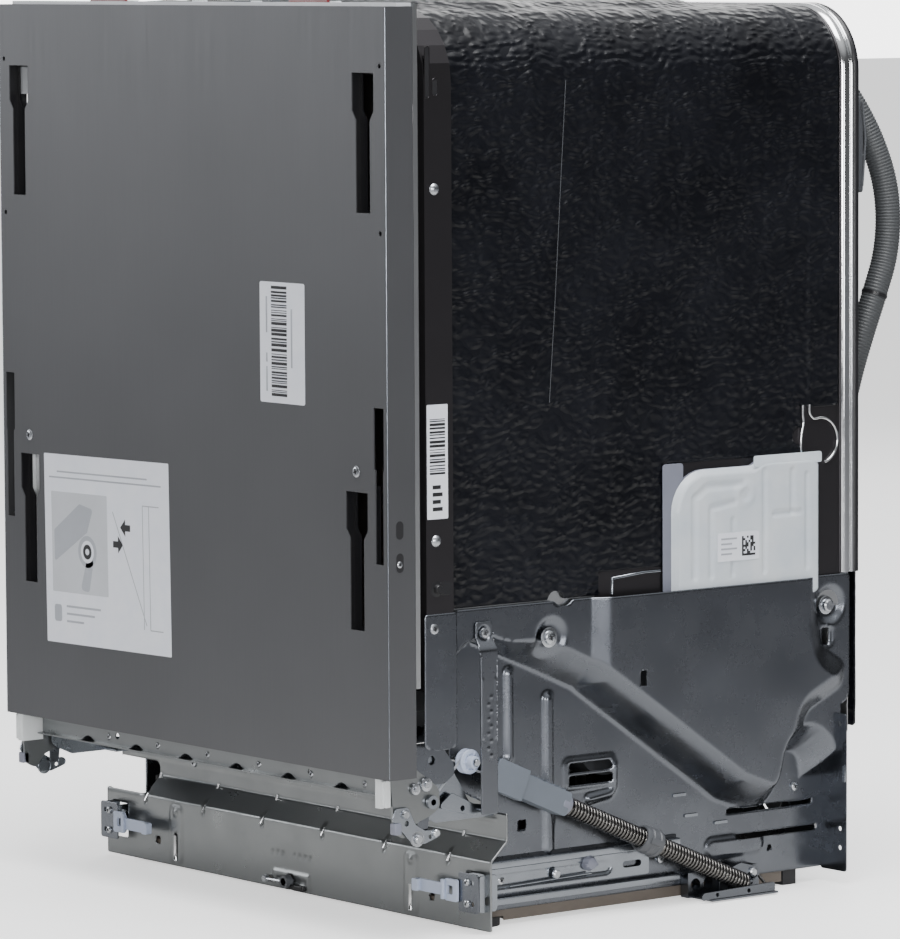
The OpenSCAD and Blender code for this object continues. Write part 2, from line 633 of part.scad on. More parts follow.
// Sliding bar with a clip for the plinth board, and a sprung strap
module plinth_slide() color("lightsteelblue") {
  x0 = recess_level + gap / 2 + 2;
  block([x0, x0 + 3], [103, 320], [30, 52]);
  difference() {
    block([half_w - 36, half_w - 6], [102, 104], [19, 54]);
    rod_y(101, 105, half_w - 28, 36, 4);
  }
  block([half_w - 36, half_w - 34], [96, 102.5], [19, 54]);
  block([half_w - 8, half_w - 6], [94, 102.5], [24, 49]);
  block([206, half_w - 35], [100, 101.6], [30, 43]);
}

// ---- Feet ----

module foot(x, y) color("dimgray") {
  rod_z(0, 8, x, y, foot_r);
  rod_z(7, 80, x, y, stem_r);
}

// Shaft that turns the rear foot from the front
module foot_adjuster() color("black") {
  y1 = rear_foot_y - 20 - stem_r - 1;
  rod_y(plinth_y - 9, plinth_y - 2, 0, shaft_z, 6);
  rod_y(plinth_y - 3, y1 - 8, 0, shaft_z, 3);
  rod_y(y1 - 8.5, y1 - 3, 0, shaft_z, 3);
}

module rear_skids() color("black") both_sides()
  block([plate_x - 40, plate_x - gap], [plate_y1 - 18, plate_y1 - 2], [0, 13.6]);

// ---- Racks and wash system ----

module rack_wires(half, y0, y1, z0, h, nx, ny) {
  r = wire_r;
  d = 2 * r + 0.1;
  dx = 2 * (half - 16) / (nx - 1);
  dy = (y1 - y0 - 24) / (ny - 1);
  for (i = [0 : nx - 1]) rod_y(y0, y1, 16 - half + i * dx, z0, r);
  for (i = [0 : ny - 1]) rod_x(-half, half, y0 + 12 + i * dy, z0 + d, r);
  for (z = [z0 + h * 0.5, z0 + h]) {
    for (x = [-half - d, half + d]) rod_y(y0 - d, y1 + d, x, z, r);
    for (y = [y0 - 2 * d, y1 + 2 * d]) rod_x(-half, half, y, z, r);
  }
  for (i = [0 : ny - 1]) for (x = [-half, half]) rod_z(z0 + 2 * d, z0 + h + r, x, y0 + 12 + i * dy, r);
  for (i = [0 : nx - 1]) for (y = [y0 - d, y1 + d]) rod_z(z0 - r, z0 + h + r, 16 - half + i * dx, y, r);
}

module lower_rack() color("lightgray") {
  rack_wires(lower_rack_half, rack_y0 + 8, rack_y1 - 8, lower_rack_z, lower_rack_h, 8, 7);
  both_sides() for (y = [110, 220, 360, 470])
    rod_x(lower_rack_half + 9, lower_rack_half + 18, y, ledge_z + wheel_r + 0.3, wheel_r);
}

module upper_rack() color("lightgray") {
  rack_wires(upper_rack_half - 8, rack_y0 + 8, rack_y1 - 22, upper_rack_z, upper_rack_h, 8, 7);
  // side carriers that run in the rails
  both_sides() block([upper_rack_half - 2, upper_rack_half + 25], [rack_y0 + 8, rack_y1 - 30],
    [upper_rack_z + 44, upper_rack_z + 54]);
  // feed pipe of the upper spray arm
  rod_y(mid_y + 16, rack_y1 - 10, 0, upper_rack_z - 2 * wire_r - 8, 7);
  rod_z(upper_rack_z - 2 * wire_r - 16, upper_rack_z - wire_r - 0.4, 0, mid_y, 16.5);
}

module rack_rails() color("silver") both_sides() difference() {
  x1 = tub_half - sheet - gap;
  z = upper_rack_z + 49;
  block([upper_rack_half + 10, x1], [tub_y0 + 10, rack_y1], [z - 9, z + 9]);
  block([upper_rack_half + 9, x1 - 4], [tub_y0 + 9, rack_y1 + EPS], [z - 6, z + 6]);
}

// Open-topped cutlery basket with slotted walls
module cutlery_basket() color("gray") {
  x = [-70, 70];
  y = [390, 500];
  z = [lower_rack_z + 4 * wire_r + 1, lower_rack_z + lower_rack_h + 14];
  difference() {
    block(x, y, z);
    for (i = [0 : 2])
      block([x[0] + 2.5 + i * 46, x[0] + 45.5 + i * 46], [y[0] + 2.5, y[1] - 2.5], [z[0] + 2.5, z[1] + EPS]);
    for (i = [0 : 5])
      block([x[0] + 8 + i * 22, x[0] + 20 + i * 22], [y[0] - EPS, y[1] + EPS], [z[0] + 14, z[1] - 26]);
  }
}

module spray_arm(z, len, hub_r, hub_h) {
  translate([0, mid_y, z]) difference() {
    union() {
      translate([-len, -17, 3]) cube([2 * len, 34, 11]);
      cylinder(r = hub_r, h = hub_h);
    }
    for (s = [-1, 1]) for (i = [1 : 5]) translate([s * len * i / 5.6, s * 8, 9]) cylinder(r = 2, h = 8);
  }
}

module lower_spray_arm() color("lightgray") spray_arm(pan_z0 + 16, arm_r, 26, 20);
module upper_spray_arm() color("lightgray")
  spray_arm(upper_rack_z - 2 * wire_r - 37, arm_r - 12, 22, 20);

module sump_filter() color("gainsboro") {
  z0 = pan_z0 - 36;
  z1 = pan_z0 + sheet + gap / 2;
  difference() {
    union() {
      rod_z(z0, z1 + 4, 0, mid_y, 42);
      rod_z(z1, z1 + 1.6, 0, mid_y, 78);
    }
    rod_z(z0 + 3, z1 + 5, 0, mid_y, 39);
  }
  rod_z(z0 + 2, pan_z0 + 15, 0, mid_y, 14);
}

// Sump bowl, circulation pump and its motor, hung below the tub floor
module wash_pump() color("dimgray") {
  z1 = pan_z0 - gap;
  difference() {
    rod_z(z1 - 52, z1, 0, mid_y, 74);
    rod_z(z1 - 48, z1 + EPS, 0, mid_y, 64);
  }
  rod_x(72, 130, mid_y, z1 - 30, 16);
  rod_x(128, 158, mid_y, z1 - 50, 42);
  rod_x(157, 228, mid_y, z1 - 50, 32);
  rod_y(mid_y + 70, mid_y + 120, 0, z1 - 40, 13);
  rod_y(mid_y + 118, mid_y + 176, 0, z1 - 40, 25);
}

// Translucent water distribution box on the right of the tub
module water_box() color("aliceblue") {
  x0 = tub_half + 1.2;
  x1 = bulge_level - sheet - gap;
  p = [[water_y[0], 152, 6], [505, 190, 6], [506, 398, 3], [372, 398, 38], [water_y[0], 350, 30]];
  difference() {
    along_x(x0, x1) polygon(rounded(p));
    along_x(x0 + 1.8, x1 - 1.8) polygon(rounded(inset(p, 2)));
  }
  block([x1 - 4, x1], [425, 506], [397, 406]);
  block([x0, x0 + 2], [321.5, 331], [292, 396]);
}

// ---- Drain hose and rear fittings ----

function hose_tangent(i) = unit(HOSE[min(i + 1, len(HOSE) - 1)] - HOSE[max(i - 1, 0)]);
function carried(v, t) = unit(v - (v * t) * t);
// Each ring's sideways direction, carried along the hose without twist
function hose_sides(i = 0, v = [1, 0, 0]) = i >= len(HOSE) ? [] :
  let (w = carried(v, hose_tangent(i))) concat([w], hose_sides(i + 1, w));

module drain_hose() color("slategray") {
  n = 10;
  side = hose_sides();
  rings = len(HOSE);
  points = [for (i = [0 : rings - 1]) let (u = side[i], w = cross(hose_tangent(i), u))
    for (k = [0 : n - 1]) let (a = 360 * k / n)
      [0, body_d, 0] + HOSE[i] + hose_r * (u * cos(a) + w * sin(a))];
  walls = [for (i = [0 : rings - 2]) for (k = [0 : n - 1]) let (a = i * n + k, b = i * n + (k + 1) % n)
    each [[a, b, b + n], [a, b + n, a + n]]];
  ends = [[for (k = [n - 1 : -1 : 0]) k], [for (k = [0 : n - 1]) (rings - 1) * n + k]];
  polyhedron(points, [for (f = concat(walls, ends)) [for (k = [len(f) - 1 : -1 : 0]) f[k]]]);
}

// Outlet spigot, the hook that carries the hose's high loop, the tie, and the end cuff on its peg
module hose_clips() color("dimgray") {
  y0 = body_d - 1 + gap;
  rod_y(back_y + gap, body_d - 12 - gap, 200, 72, hose_r + 1);
  for (p = [[210, 200], [8, 480]]) difference() {
    block([p.x - 20, p.x + 20], [y0, y0 + 34], [p.y - 8, p.y + 8]);
    rod_z(p.y - 9, p.y + 9, p.x, hose_y, hose_r + 1);
    block([p.x - 10, p.x + 10], [hose_y + 10, y0 + 40], [p.y - 9, p.y + 9]);
  }
  difference() {
    block([104, 140], [y0, y0 + 34], [760, 801]);
    rod_x(103, 141, hose_y, 783, hose_r + 2);
    block([103, 141], [hose_y, y0 + 40], [774, 802]);
  }
  difference() {
    rod_z(190, 240 - gap, 0, hose_y, hose_r + 3);
    rod_z(189, 222, 0, hose_y, hose_r - 4);
  }
  block([-10, 10], [y0, hose_y - hose_r], [204, 216]);
  block([226, 244], [y0, y0 + 34], [612, 650]);
}

module inlet_valve() color("whitesmoke") {
  rod_y(back_y + gap, body_d - 3, -210, 80, 13.2);
  rod_y(back_y - 30, back_y - sheet - gap, -210, 80, 18);
  rod_y(back_y - 8, back_y + gap + 1, -210, 80, 12);
  block([-240, -180], [back_y - 62, back_y - 29], [62, 98]);
}

module chassis_screws() color("silver") both_sides() {
  for (z = [body_h - 158, body_h - 464]) {
    rod_x(half_w - 5, half_w - 1 + gap / 2, frame_y + 11, z, 2.3);
    translate([half_w - 1 + gap / 4, frame_y + 11, z]) rotate([0, 90, 0])
      cylinder(r1 = 5.2, r2 = 3.4, h = 0.7);
  }
  rod_x(front_level + gap + 1.6 + 0.1, front_level + gap + 4, guard_y, 268, 4.6);
  rod_x(front_level + gap + 0.1, front_level + gap + 1.8, guard_y, 268, 2.3);
  rod_x(plate_x - 4, spring_x + 8.6, roller_p.x, roller_p.y, 3);
}

// ---- Output ----

place() door_outer_panel();
place() door_inner_panel();
place() door_console();
place() console_tabs();
place() door_bottom_rail();
place() hook_plates();
place() door_insulation();
place() door_screws();
place() hinge_arm();  // hinge_arm_right
place() mirror([1, 0, 0]) hinge_arm();  // hinge_arm_left
place() hinge_covers();
place() detergent_dispenser();
place() dispenser_lid();
place() rinse_aid_cap();
place() push_button(button_x[0]);  // power_button
place() push_button(button_x[1]);  // program_button
place() push_button(button_x[2]);  // start_button
place() front_frame();
place() tub_wrap();
place() tub_floor();
place() tub_back();
place() rear_flange();
place() door_seal();
place() sound_mat();
place() rear_mat();
place() base_panel();  // base_panel_right
place() mirror([1, 0, 0]) base_panel();  // base_panel_left
place() plinth_panel();
place() base_tray();
place() base_back_panel();
place() hinge_bracket();  // hinge_bracket_right
place() mirror([1, 0, 0]) hinge_bracket();  // hinge_bracket_left
place() guard_bracket();  // guard_bracket_right
place() mirror([1, 0, 0]) guard_bracket();  // guard_bracket_left
place() both_sides() roller();  // rope_rollers
place() both_sides() spring_tensioner();  // spring_tensioners
place() both_sides() door_spring();  // door_springs
place() both_sides() spring_coupler();  // spring_couplers
place() both_sides() spring_anchor();  // spring_anchors
place() both_sides() plinth_runner();  // plinth_runners
place() plinth_slide();  // plinth_slide_right
place() mirror([1, 0, 0]) plinth_slide();  // plinth_slide_left
place() foot(foot_x, foot_y);  // foot_front_right
place() foot(-foot_x, foot_y);  // foot_front_left
place() foot(0, rear_foot_y - 20);  // foot_rear
place() foot_adjuster();
place() rear_skids();
place() upper_rack();
place() lower_rack();
place() rack_rails();
place() cutlery_basket();
place() lower_spray_arm();
place() upper_spray_arm();
place() sump_filter();
place() wash_pump();
place() water_box();
place() drain_hose();
place() hose_clips();
place() inlet_valve();
place() chassis_screws();
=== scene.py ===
"""Visual model of a built-in dishwasher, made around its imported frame.

Layout lengths are millimetres: x to the right, y back from the door skin's face, z up from the floor.
Pieces are turned into metres in the row frame as they are built.
"""
import json
import math

import bpy
import numpy as np
from mathutils import Matrix, Vector
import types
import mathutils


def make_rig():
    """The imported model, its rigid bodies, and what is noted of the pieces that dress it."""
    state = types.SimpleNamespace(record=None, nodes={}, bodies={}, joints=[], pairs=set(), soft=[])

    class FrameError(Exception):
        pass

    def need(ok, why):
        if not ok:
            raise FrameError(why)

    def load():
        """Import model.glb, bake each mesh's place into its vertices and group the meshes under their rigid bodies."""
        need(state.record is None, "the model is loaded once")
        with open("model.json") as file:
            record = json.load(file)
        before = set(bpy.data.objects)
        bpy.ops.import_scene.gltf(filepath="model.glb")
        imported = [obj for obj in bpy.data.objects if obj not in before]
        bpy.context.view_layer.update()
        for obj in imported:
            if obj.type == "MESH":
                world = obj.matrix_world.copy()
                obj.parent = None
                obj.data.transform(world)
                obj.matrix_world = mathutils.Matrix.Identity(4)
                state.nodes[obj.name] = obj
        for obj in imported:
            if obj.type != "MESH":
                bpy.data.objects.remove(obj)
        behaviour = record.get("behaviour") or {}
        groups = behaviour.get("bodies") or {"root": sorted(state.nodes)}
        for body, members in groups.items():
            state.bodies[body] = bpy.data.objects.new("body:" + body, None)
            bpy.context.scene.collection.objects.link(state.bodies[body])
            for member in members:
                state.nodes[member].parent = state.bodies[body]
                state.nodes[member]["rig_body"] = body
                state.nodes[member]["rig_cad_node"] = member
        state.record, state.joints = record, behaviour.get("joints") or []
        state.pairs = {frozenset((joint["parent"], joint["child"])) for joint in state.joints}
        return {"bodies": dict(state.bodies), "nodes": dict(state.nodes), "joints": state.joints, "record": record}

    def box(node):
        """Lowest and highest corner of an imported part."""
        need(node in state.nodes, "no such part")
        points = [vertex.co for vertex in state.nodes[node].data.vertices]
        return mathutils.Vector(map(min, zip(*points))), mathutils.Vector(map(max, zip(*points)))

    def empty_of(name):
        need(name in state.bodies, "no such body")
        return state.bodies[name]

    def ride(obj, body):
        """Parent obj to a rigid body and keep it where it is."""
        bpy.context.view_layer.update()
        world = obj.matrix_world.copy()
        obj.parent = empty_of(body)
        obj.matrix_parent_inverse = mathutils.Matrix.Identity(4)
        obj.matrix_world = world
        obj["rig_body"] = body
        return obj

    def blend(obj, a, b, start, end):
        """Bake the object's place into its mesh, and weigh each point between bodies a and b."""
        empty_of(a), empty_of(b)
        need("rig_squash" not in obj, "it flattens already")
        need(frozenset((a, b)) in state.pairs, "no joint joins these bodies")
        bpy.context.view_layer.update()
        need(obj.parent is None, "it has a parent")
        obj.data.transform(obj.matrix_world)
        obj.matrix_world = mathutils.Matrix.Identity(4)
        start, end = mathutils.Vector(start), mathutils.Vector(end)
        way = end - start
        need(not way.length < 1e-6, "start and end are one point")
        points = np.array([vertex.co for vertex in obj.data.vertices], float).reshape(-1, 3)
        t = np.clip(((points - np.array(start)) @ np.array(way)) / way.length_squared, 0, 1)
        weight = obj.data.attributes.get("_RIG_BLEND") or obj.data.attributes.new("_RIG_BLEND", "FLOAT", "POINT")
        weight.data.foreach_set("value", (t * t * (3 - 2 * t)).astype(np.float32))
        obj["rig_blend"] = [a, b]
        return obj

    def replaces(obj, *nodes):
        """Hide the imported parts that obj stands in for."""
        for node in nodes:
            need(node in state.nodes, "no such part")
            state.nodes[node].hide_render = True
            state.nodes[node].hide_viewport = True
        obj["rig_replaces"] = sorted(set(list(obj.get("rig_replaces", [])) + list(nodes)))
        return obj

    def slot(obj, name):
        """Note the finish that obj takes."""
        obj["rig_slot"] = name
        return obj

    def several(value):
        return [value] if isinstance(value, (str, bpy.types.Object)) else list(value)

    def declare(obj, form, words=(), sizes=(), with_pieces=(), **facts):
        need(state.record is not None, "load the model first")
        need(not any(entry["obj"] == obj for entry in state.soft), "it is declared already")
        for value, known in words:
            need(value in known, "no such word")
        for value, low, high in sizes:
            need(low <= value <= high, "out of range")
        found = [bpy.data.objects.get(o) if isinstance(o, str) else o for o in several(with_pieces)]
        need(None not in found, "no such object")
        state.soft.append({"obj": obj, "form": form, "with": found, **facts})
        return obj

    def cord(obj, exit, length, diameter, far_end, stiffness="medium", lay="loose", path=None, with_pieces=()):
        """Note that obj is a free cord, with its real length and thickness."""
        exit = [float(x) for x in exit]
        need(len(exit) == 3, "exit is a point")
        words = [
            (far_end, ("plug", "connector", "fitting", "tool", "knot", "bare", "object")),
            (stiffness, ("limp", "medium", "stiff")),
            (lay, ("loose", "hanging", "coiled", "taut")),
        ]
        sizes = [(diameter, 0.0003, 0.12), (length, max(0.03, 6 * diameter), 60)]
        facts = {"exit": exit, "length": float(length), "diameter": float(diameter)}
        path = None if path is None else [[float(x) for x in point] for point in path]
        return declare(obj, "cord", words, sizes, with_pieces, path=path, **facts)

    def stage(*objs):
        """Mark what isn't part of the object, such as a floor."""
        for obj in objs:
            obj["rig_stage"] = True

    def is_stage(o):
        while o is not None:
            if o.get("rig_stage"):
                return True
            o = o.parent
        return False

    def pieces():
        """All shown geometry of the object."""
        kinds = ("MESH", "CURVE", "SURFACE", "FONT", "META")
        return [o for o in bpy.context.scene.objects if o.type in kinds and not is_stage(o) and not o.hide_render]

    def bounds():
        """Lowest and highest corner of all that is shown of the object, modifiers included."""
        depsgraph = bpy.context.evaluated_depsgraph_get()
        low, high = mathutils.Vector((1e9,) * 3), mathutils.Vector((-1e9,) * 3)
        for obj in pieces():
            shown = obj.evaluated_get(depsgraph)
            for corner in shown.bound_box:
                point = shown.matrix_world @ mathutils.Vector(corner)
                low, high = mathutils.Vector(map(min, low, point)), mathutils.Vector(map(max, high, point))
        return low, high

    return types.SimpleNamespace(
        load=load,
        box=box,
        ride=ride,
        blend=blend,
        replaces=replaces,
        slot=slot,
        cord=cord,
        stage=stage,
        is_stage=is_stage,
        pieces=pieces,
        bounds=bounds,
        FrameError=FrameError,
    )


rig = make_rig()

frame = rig.load()
cad_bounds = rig.bounds()

MM = 0.001
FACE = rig.box("door_outer_panel")[0].y      # the door skin's face in the row frame
HALF = 298                                  # half width of the body
FRONT_PLANE = 287.8                         # base side panel: plane ahead of its bulge
BULGE_PLANE = 297                           # base side panel: plane of the bulge
RECESS_PLANE = 262                          # base side panel: plane of the spring recess
MAT_PLANE = 286.2
MAT_TOP = 814.2
MAT_CORNER = 61.8
MAT_BOTTOM = 291                            # top edge of the base panels, where the mat ends
ROLLER = (98, 155)
SPRING_X = 283
ANCHOR = np.array([430.0, 9.0])
SPRING_DIR = np.array([-239.0, 104.0]) / math.hypot(239, 104)


# ---- Camera and lights ----

CAMERA_AT = Vector((4.1444, -3.2424, 0.8621))
CAMERA_YAW, CAMERA_PITCH, CAMERA_ROLL = (math.radians(a) for a in (51.898, -5.219, -0.315))
CAMERA_LENS = 216.16


def make_camera():
    data = bpy.data.cameras.new("camera")
    data.lens = CAMERA_LENS
    data.sensor_width = 36
    camera = bpy.data.objects.new("camera", data)
    forward = Vector((-math.sin(CAMERA_YAW) * math.cos(CAMERA_PITCH),
                      math.cos(CAMERA_YAW) * math.cos(CAMERA_PITCH), math.sin(CAMERA_PITCH)))
    right = Vector((math.cos(CAMERA_YAW), math.sin(CAMERA_YAW), 0))
    up = right.cross(forward)
    cos, sin = math.cos(CAMERA_ROLL), math.sin(CAMERA_ROLL)
    axes = Matrix((cos * right + sin * up, cos * up - sin * right, -forward)).transposed()
    camera.matrix_world = Matrix.Translation(CAMERA_AT) @ axes.to_4x4()
    bpy.context.scene.collection.objects.link(camera)
    bpy.context.scene.camera = camera


def area_light(name, at, size, power, tint=(1, 1, 1), target=(0, 0, 0.4)):
    data = bpy.data.lights.new(name, "AREA")
    data.shape = "RECTANGLE"
    data.size, data.size_y = size
    data.energy = power
    data.color = tint
    light = bpy.data.objects.new(name, data)
    light.location = at
    light.rotation_euler = (Vector(target) - Vector(at)).to_track_quat("-Z", "Y").to_euler()
    bpy.context.scene.collection.objects.link(light)


make_camera()
area_light("softbox_top", (0.9, -0.4, 3.4), (2.4, 2.4), 170)
area_light("softbox_key", (4.9, -4.1, 1.2), (1.7, 1.6), 150, (1, 0.99, 0.98), (0.2, 0, 0.3))
area_light("softbox_left", (-3.4, -2.6, 1.2), (1.8, 1.0), 30, (0.98, 0.99, 1), (0, 0, 0.2))
area_light("strip_side", (5.4, -1.3, 0.95), (0.9, 1.6), 45, (0.97, 0.98, 1), (0.3, 0, 0.25))
area_light("softbox_rear", (-2.6, 3.2, 2.4), (1.8, 1.8), 45)


# ---- Materials ----

class Shader:
    """One procedural material, its nodes added by name."""

    def __init__(self, name):
        self.material = bpy.data.materials.new(name)
        self.material.use_nodes = True
        self.tree = self.material.node_tree
        self.surface = self.tree.nodes["Principled BSDF"]
        self.coordinates = self.add("ShaderNodeTexCoord").outputs["Object"]

    def add(self, kind, settings=None, **inputs):
        node = self.tree.nodes.new(kind)
        for key, value in (settings or {}).items():
            setattr(node, key, value)
        self.set(node, **inputs)
        return node

    def set(self, node, **inputs):
        for key, value in inputs.items():
            socket = node.inputs[int(key[1:])] if key[0] == "i" and key[1:].isdigit() else node.inputs[
                key.replace("_", " ")]
            if isinstance(value, bpy.types.NodeSocket):
                self.tree.links.new(value, socket)
            else:
                socket.default_value = value

    def scaled(self, scale, source=None):
        node = self.add("ShaderNodeMapping")
        self.set(node, Vector=source or self.coordinates, Scale=scale)
        return node.outputs["Vector"]

    def noise(self, scale, detail=4, rough=0.55, vector=None, distortion=0):
        node = self.add("ShaderNodeTexNoise")
        self.set(node, Vector=vector or self.coordinates, Scale=scale, Detail=detail,
                 Roughness=rough, Distortion=distortion)
        return node.outputs["Fac"]

    def cells(self, scale, feature="F1", vector=None):
        node = self.add("ShaderNodeTexVoronoi", {"feature": feature})
        self.set(node, Vector=vector or self.coordinates, Scale=scale)
        return node.outputs["Distance"]

    def ramp(self, value, stops):
        node = self.add("ShaderNodeValToRGB")
        while len(node.color_ramp.elements) < len(stops):
            node.color_ramp.elements.new(0.5)
        for element, (place, colour) in zip(node.color_ramp.elements, stops):
            element.position = place
            element.color = (*colour, 1) if len(colour) == 3 else colour
        self.set(node, Fac=value)
        return node.outputs["Color"]

    def between(self, value, low, high, start=0.3, end=0.7):
        """value, mapped from start..end to low..high"""
        node = self.add("ShaderNodeMapRange")
        self.set(node, Value=value, i1=start, i2=end, i3=low, i4=high)
        return node.outputs["Result"]

    def sum(self, a, b, operation="ADD"):
        node = self.add("ShaderNodeMath", {"operation": operation})
        self.set(node, i0=a, i1=b)
        return node.outputs[0]

    def bump(self, height, strength, distance, normal=None):
        node = self.add("ShaderNodeBump")
        self.set(node, Height=height, Strength=strength, Distance=distance)
        if normal:
            self.set(node, Normal=normal)
        return node.outputs["Normal"]

    def finish(self, **inputs):
        self.set(self.surface, **inputs)
        return self.material


def tones(colour, spread):
    """Darker and lighter versions of a colour."""
    return tuple(c * (1 - spread) for c in colour), tuple(min(1, c * (1 + spread)) for c in colour)


def sheet_metal(name, colour, roughness, metallic, spangle=0.12, brush=None):
    """Zinc-coated or stainless sheet: blotchy tone, fine grain, and brushing along one axis if asked."""
    s = Shader(name)
    blotch = s.noise(9, 5, 0.6)
    grain = s.noise(160, 3, 0.6)
    mixed = s.sum(s.sum(blotch, s.sum(grain, 0.35, "MULTIPLY")), 0.74, "DIVIDE")
    dark, light = tones(colour, spangle)
    tone = s.ramp(mixed, [(0.3, dark), (0.52, colour), (0.75, light)])
    uneven = 0.02 if brush else 0.075
    rough = s.between(s.noise(26, 5, 0.65), roughness - uneven, roughness + uneven)
    if brush:
        lines = s.noise(1, 2, 0.5, s.scaled(brush))
        normal = s.bump(lines, 0.12, 0.0004)
    else:
        normal = s.bump(s.noise(420, 2, 0.5), 0.08, 0.0003)
        normal = s.bump(s.noise(14, 2, 0.4), 0.05, 0.002, normal)
    return s.finish(Base_Color=tone, Metallic=metallic, Roughness=rough, Normal=normal)


def painted_metal(name, colour, roughness):
    """Satin metallic paint with a very fine orange peel and a faint vertical grain."""
    s = Shader(name)
    dark, light = tones(colour, 0.07)
    tone = s.ramp(s.noise(3.5, 3, 0.5), [(0.3, dark), (0.7, light)])
    grain = s.noise(1, 3, 0.6, s.scaled((900, 900, 14)))
    rough = s.between(grain, roughness - 0.03, roughness + 0.05)
    normal = s.bump(s.noise(900, 2, 0.6), 0.05, 0.0002)
    normal = s.bump(grain, 0.03, 0.0002, normal)
    return s.finish(Base_Color=tone, Metallic=0.55, Roughness=rough, Normal=normal,
                    Specular_IOR_Level=0.4)


def plastic(name, colour, roughness, speckle=0.06, peel=0.05, scale=220, **extra):
    s = Shader(name)
    dark, light = tones(colour, speckle)
    tone = s.ramp(s.noise(18, 5, 0.6), [(0.3, dark), (0.7, light)])
    rough = s.between(s.noise(40, 4, 0.6), roughness - 0.05, roughness + 0.07)
    normal = s.bump(s.noise(scale, 3, 0.55), peel, 0.0004)
    return s.finish(Base_Color=tone, Roughness=rough, Normal=normal, **extra)


def bitumen_mat():
    """Embossed sound-deadening mat: rows of small scales over a leathery grain, with a waxy sheen."""
    s = Shader("bitumen_mat")
    bend = s.add("ShaderNodeVectorMath", {"operation": "ADD"})
    drift = s.add("ShaderNodeTexNoise")
    s.set(drift, Vector=s.coordinates, Scale=22, Detail=2)
    shift = s.add("ShaderNodeVectorMath", {"operation": "SCALE"})
    s.set(shift, i0=drift.outputs["Color"], Scale=0.02)
    s.set(bend, i0=s.coordinates, i1=shift.outputs[0])
    scales = s.cells(150, "SMOOTH_F1", s.scaled((0.9, 0.72, 1.25), bend.outputs[0]))
    scales = s.between(scales, 1, 0, 0.1, 0.62)
    fine = s.noise(480, 3, 0.6)
    swell = s.noise(12, 3, 0.5)
    normal = s.bump(scales, 0.85, 0.0017)
    normal = s.bump(fine, 0.3, 0.0004, normal)
    tone = s.ramp(swell, [(0.3, (0.0018, 0.0021, 0.0038)), (0.75, (0.0042, 0.005, 0.0085))])
    rough = s.between(swell, 0.33, 0.46)
    return s.finish(Base_Color=tone, Roughness=rough, Normal=normal, Specular_IOR_Level=0.30)


def label_paper():
    s = Shader("label_paper")
    tone = s.ramp(s.noise(60, 4, 0.6), [(0.3, (0.74, 0.77, 0.85)), (0.7, (0.80, 0.82, 0.88))])
    normal = s.bump(s.noise(30, 2, 0.5), 0.06, 0.001)
    return s.finish(Base_Color=tone, Roughness=0.42, Normal=normal, Coat_Weight=0.3, Coat_Roughness=0.2)


def translucent():
    """Milky blow-moulded plastic."""
    s = Shader("milky_plastic")
    tone = s.ramp(s.noise(24, 4, 0.6), [(0.3, (0.74, 0.82, 0.90)), (0.7, (0.90, 0.95, 0.99))])
    normal = s.bump(s.noise(40, 3, 0.5), 0.10, 0.001)
    return s.finish(Base_Color=tone, Roughness=0.28, Normal=normal, Transmission_Weight=0.3, IOR=1.35)


def wire_metal(name, colour, roughness):
    s = Shader(name)
    dark, light = tones(colour, 0.25)
    tone = s.ramp(s.noise(55, 4, 0.6), [(0.3, dark), (0.7, light)])
    rough = s.between(s.noise(130, 3, 0.6), roughness - 0.06, roughness + 0.12)
    return s.finish(Base_Color=tone, Metallic=1.0, Roughness=rough,
                    Normal=s.bump(s.noise(300, 2, 0.5), 0.06, 0.0003))


def felt():
    s = Shader("felt")
    fibres = s.noise(600, 4, 0.7, distortion=1.5)
    tone = s.ramp(fibres, [(0.3, (0.10, 0.075, 0.05)), (0.7, (0.24, 0.18, 0.13))])
    return s.finish(Base_Color=tone, Roughness=0.95, Normal=s.bump(fibres, 0.5, 0.001))


def floor_material():
    """Pale floor: lit like a lightbox where it is looked at, dimmer where it only lights the object. It carries
    painted light too: it glows in a pool around the object, and for other rays its colour is painted darker with
    distance.
    """
    s = Shader("floor")
    tone = s.ramp(s.noise(0.6, 3, 0.5), [(0.3, (0.90, 0.90, 0.90)), (0.7, (0.92, 0.92, 0.92))])
    away = s.add("ShaderNodeVectorMath", {"operation": "LENGTH"}, i0=s.coordinates).outputs["Value"]
    # Painted light: a glow that pools on the floor around the object and fades out by 1.3 m.
    glow = s.between(away, 0.16, 0.0, 0.5, 1.3)
    seen = s.add("ShaderNodeLightPath").outputs["Is Camera Ray"]
    lit = s.sum(glow, s.sum(seen, 0.75, "MULTIPLY"))
    dim = s.add("ShaderNodeMixRGB")
    # Painted light and shade for rays other than the camera's: the colour is pale near the object and darker further
    # away.
    glow = s.ramp(s.between(away, 0, 1, 0.6, 1.5), [(0, (0.62, 0.61, 0.59)), (1, (0.24, 0.24, 0.25))])
    s.set(dim, i0=seen, i1=glow,
          i2=tone)
    return s.finish(Base_Color=dim.outputs[0], Roughness=0.6, Specular_IOR_Level=0.2,
                    Emission_Color=(1, 1, 1, 1), Emission_Strength=lit)


DOOR_PAINT = painted_metal("door_paint", (0.105, 0.107, 0.114), 0.40)
STAINLESS = sheet_metal("stainless", (0.62, 0.63, 0.64), 0.30, 1.0, 0.01, (6, 500, 6))
POLISHED = sheet_metal("polished", (0.78, 0.79, 0.80), 0.10, 1.0, 0.03)
FRAME_STEEL = sheet_metal("frame_steel", (0.055, 0.052, 0.056), 0.32, 0.85, 0.06, (400, 400, 5))
GALVANIZED = sheet_metal("galvanized", (0.155, 0.165, 0.185), 0.26, 1.0, 0.05)
BRIGHT_ZINC = sheet_metal("bright_zinc", (0.27, 0.29, 0.32), 0.22, 1.0, 0.10)
PLINTH_STEEL = sheet_metal("plinth_steel", (0.24, 0.25, 0.255), 0.33, 0.96, 0.06)
STRAP_STEEL = sheet_metal("strap_steel", (0.17, 0.18, 0.20), 0.30, 1.0, 0.08)
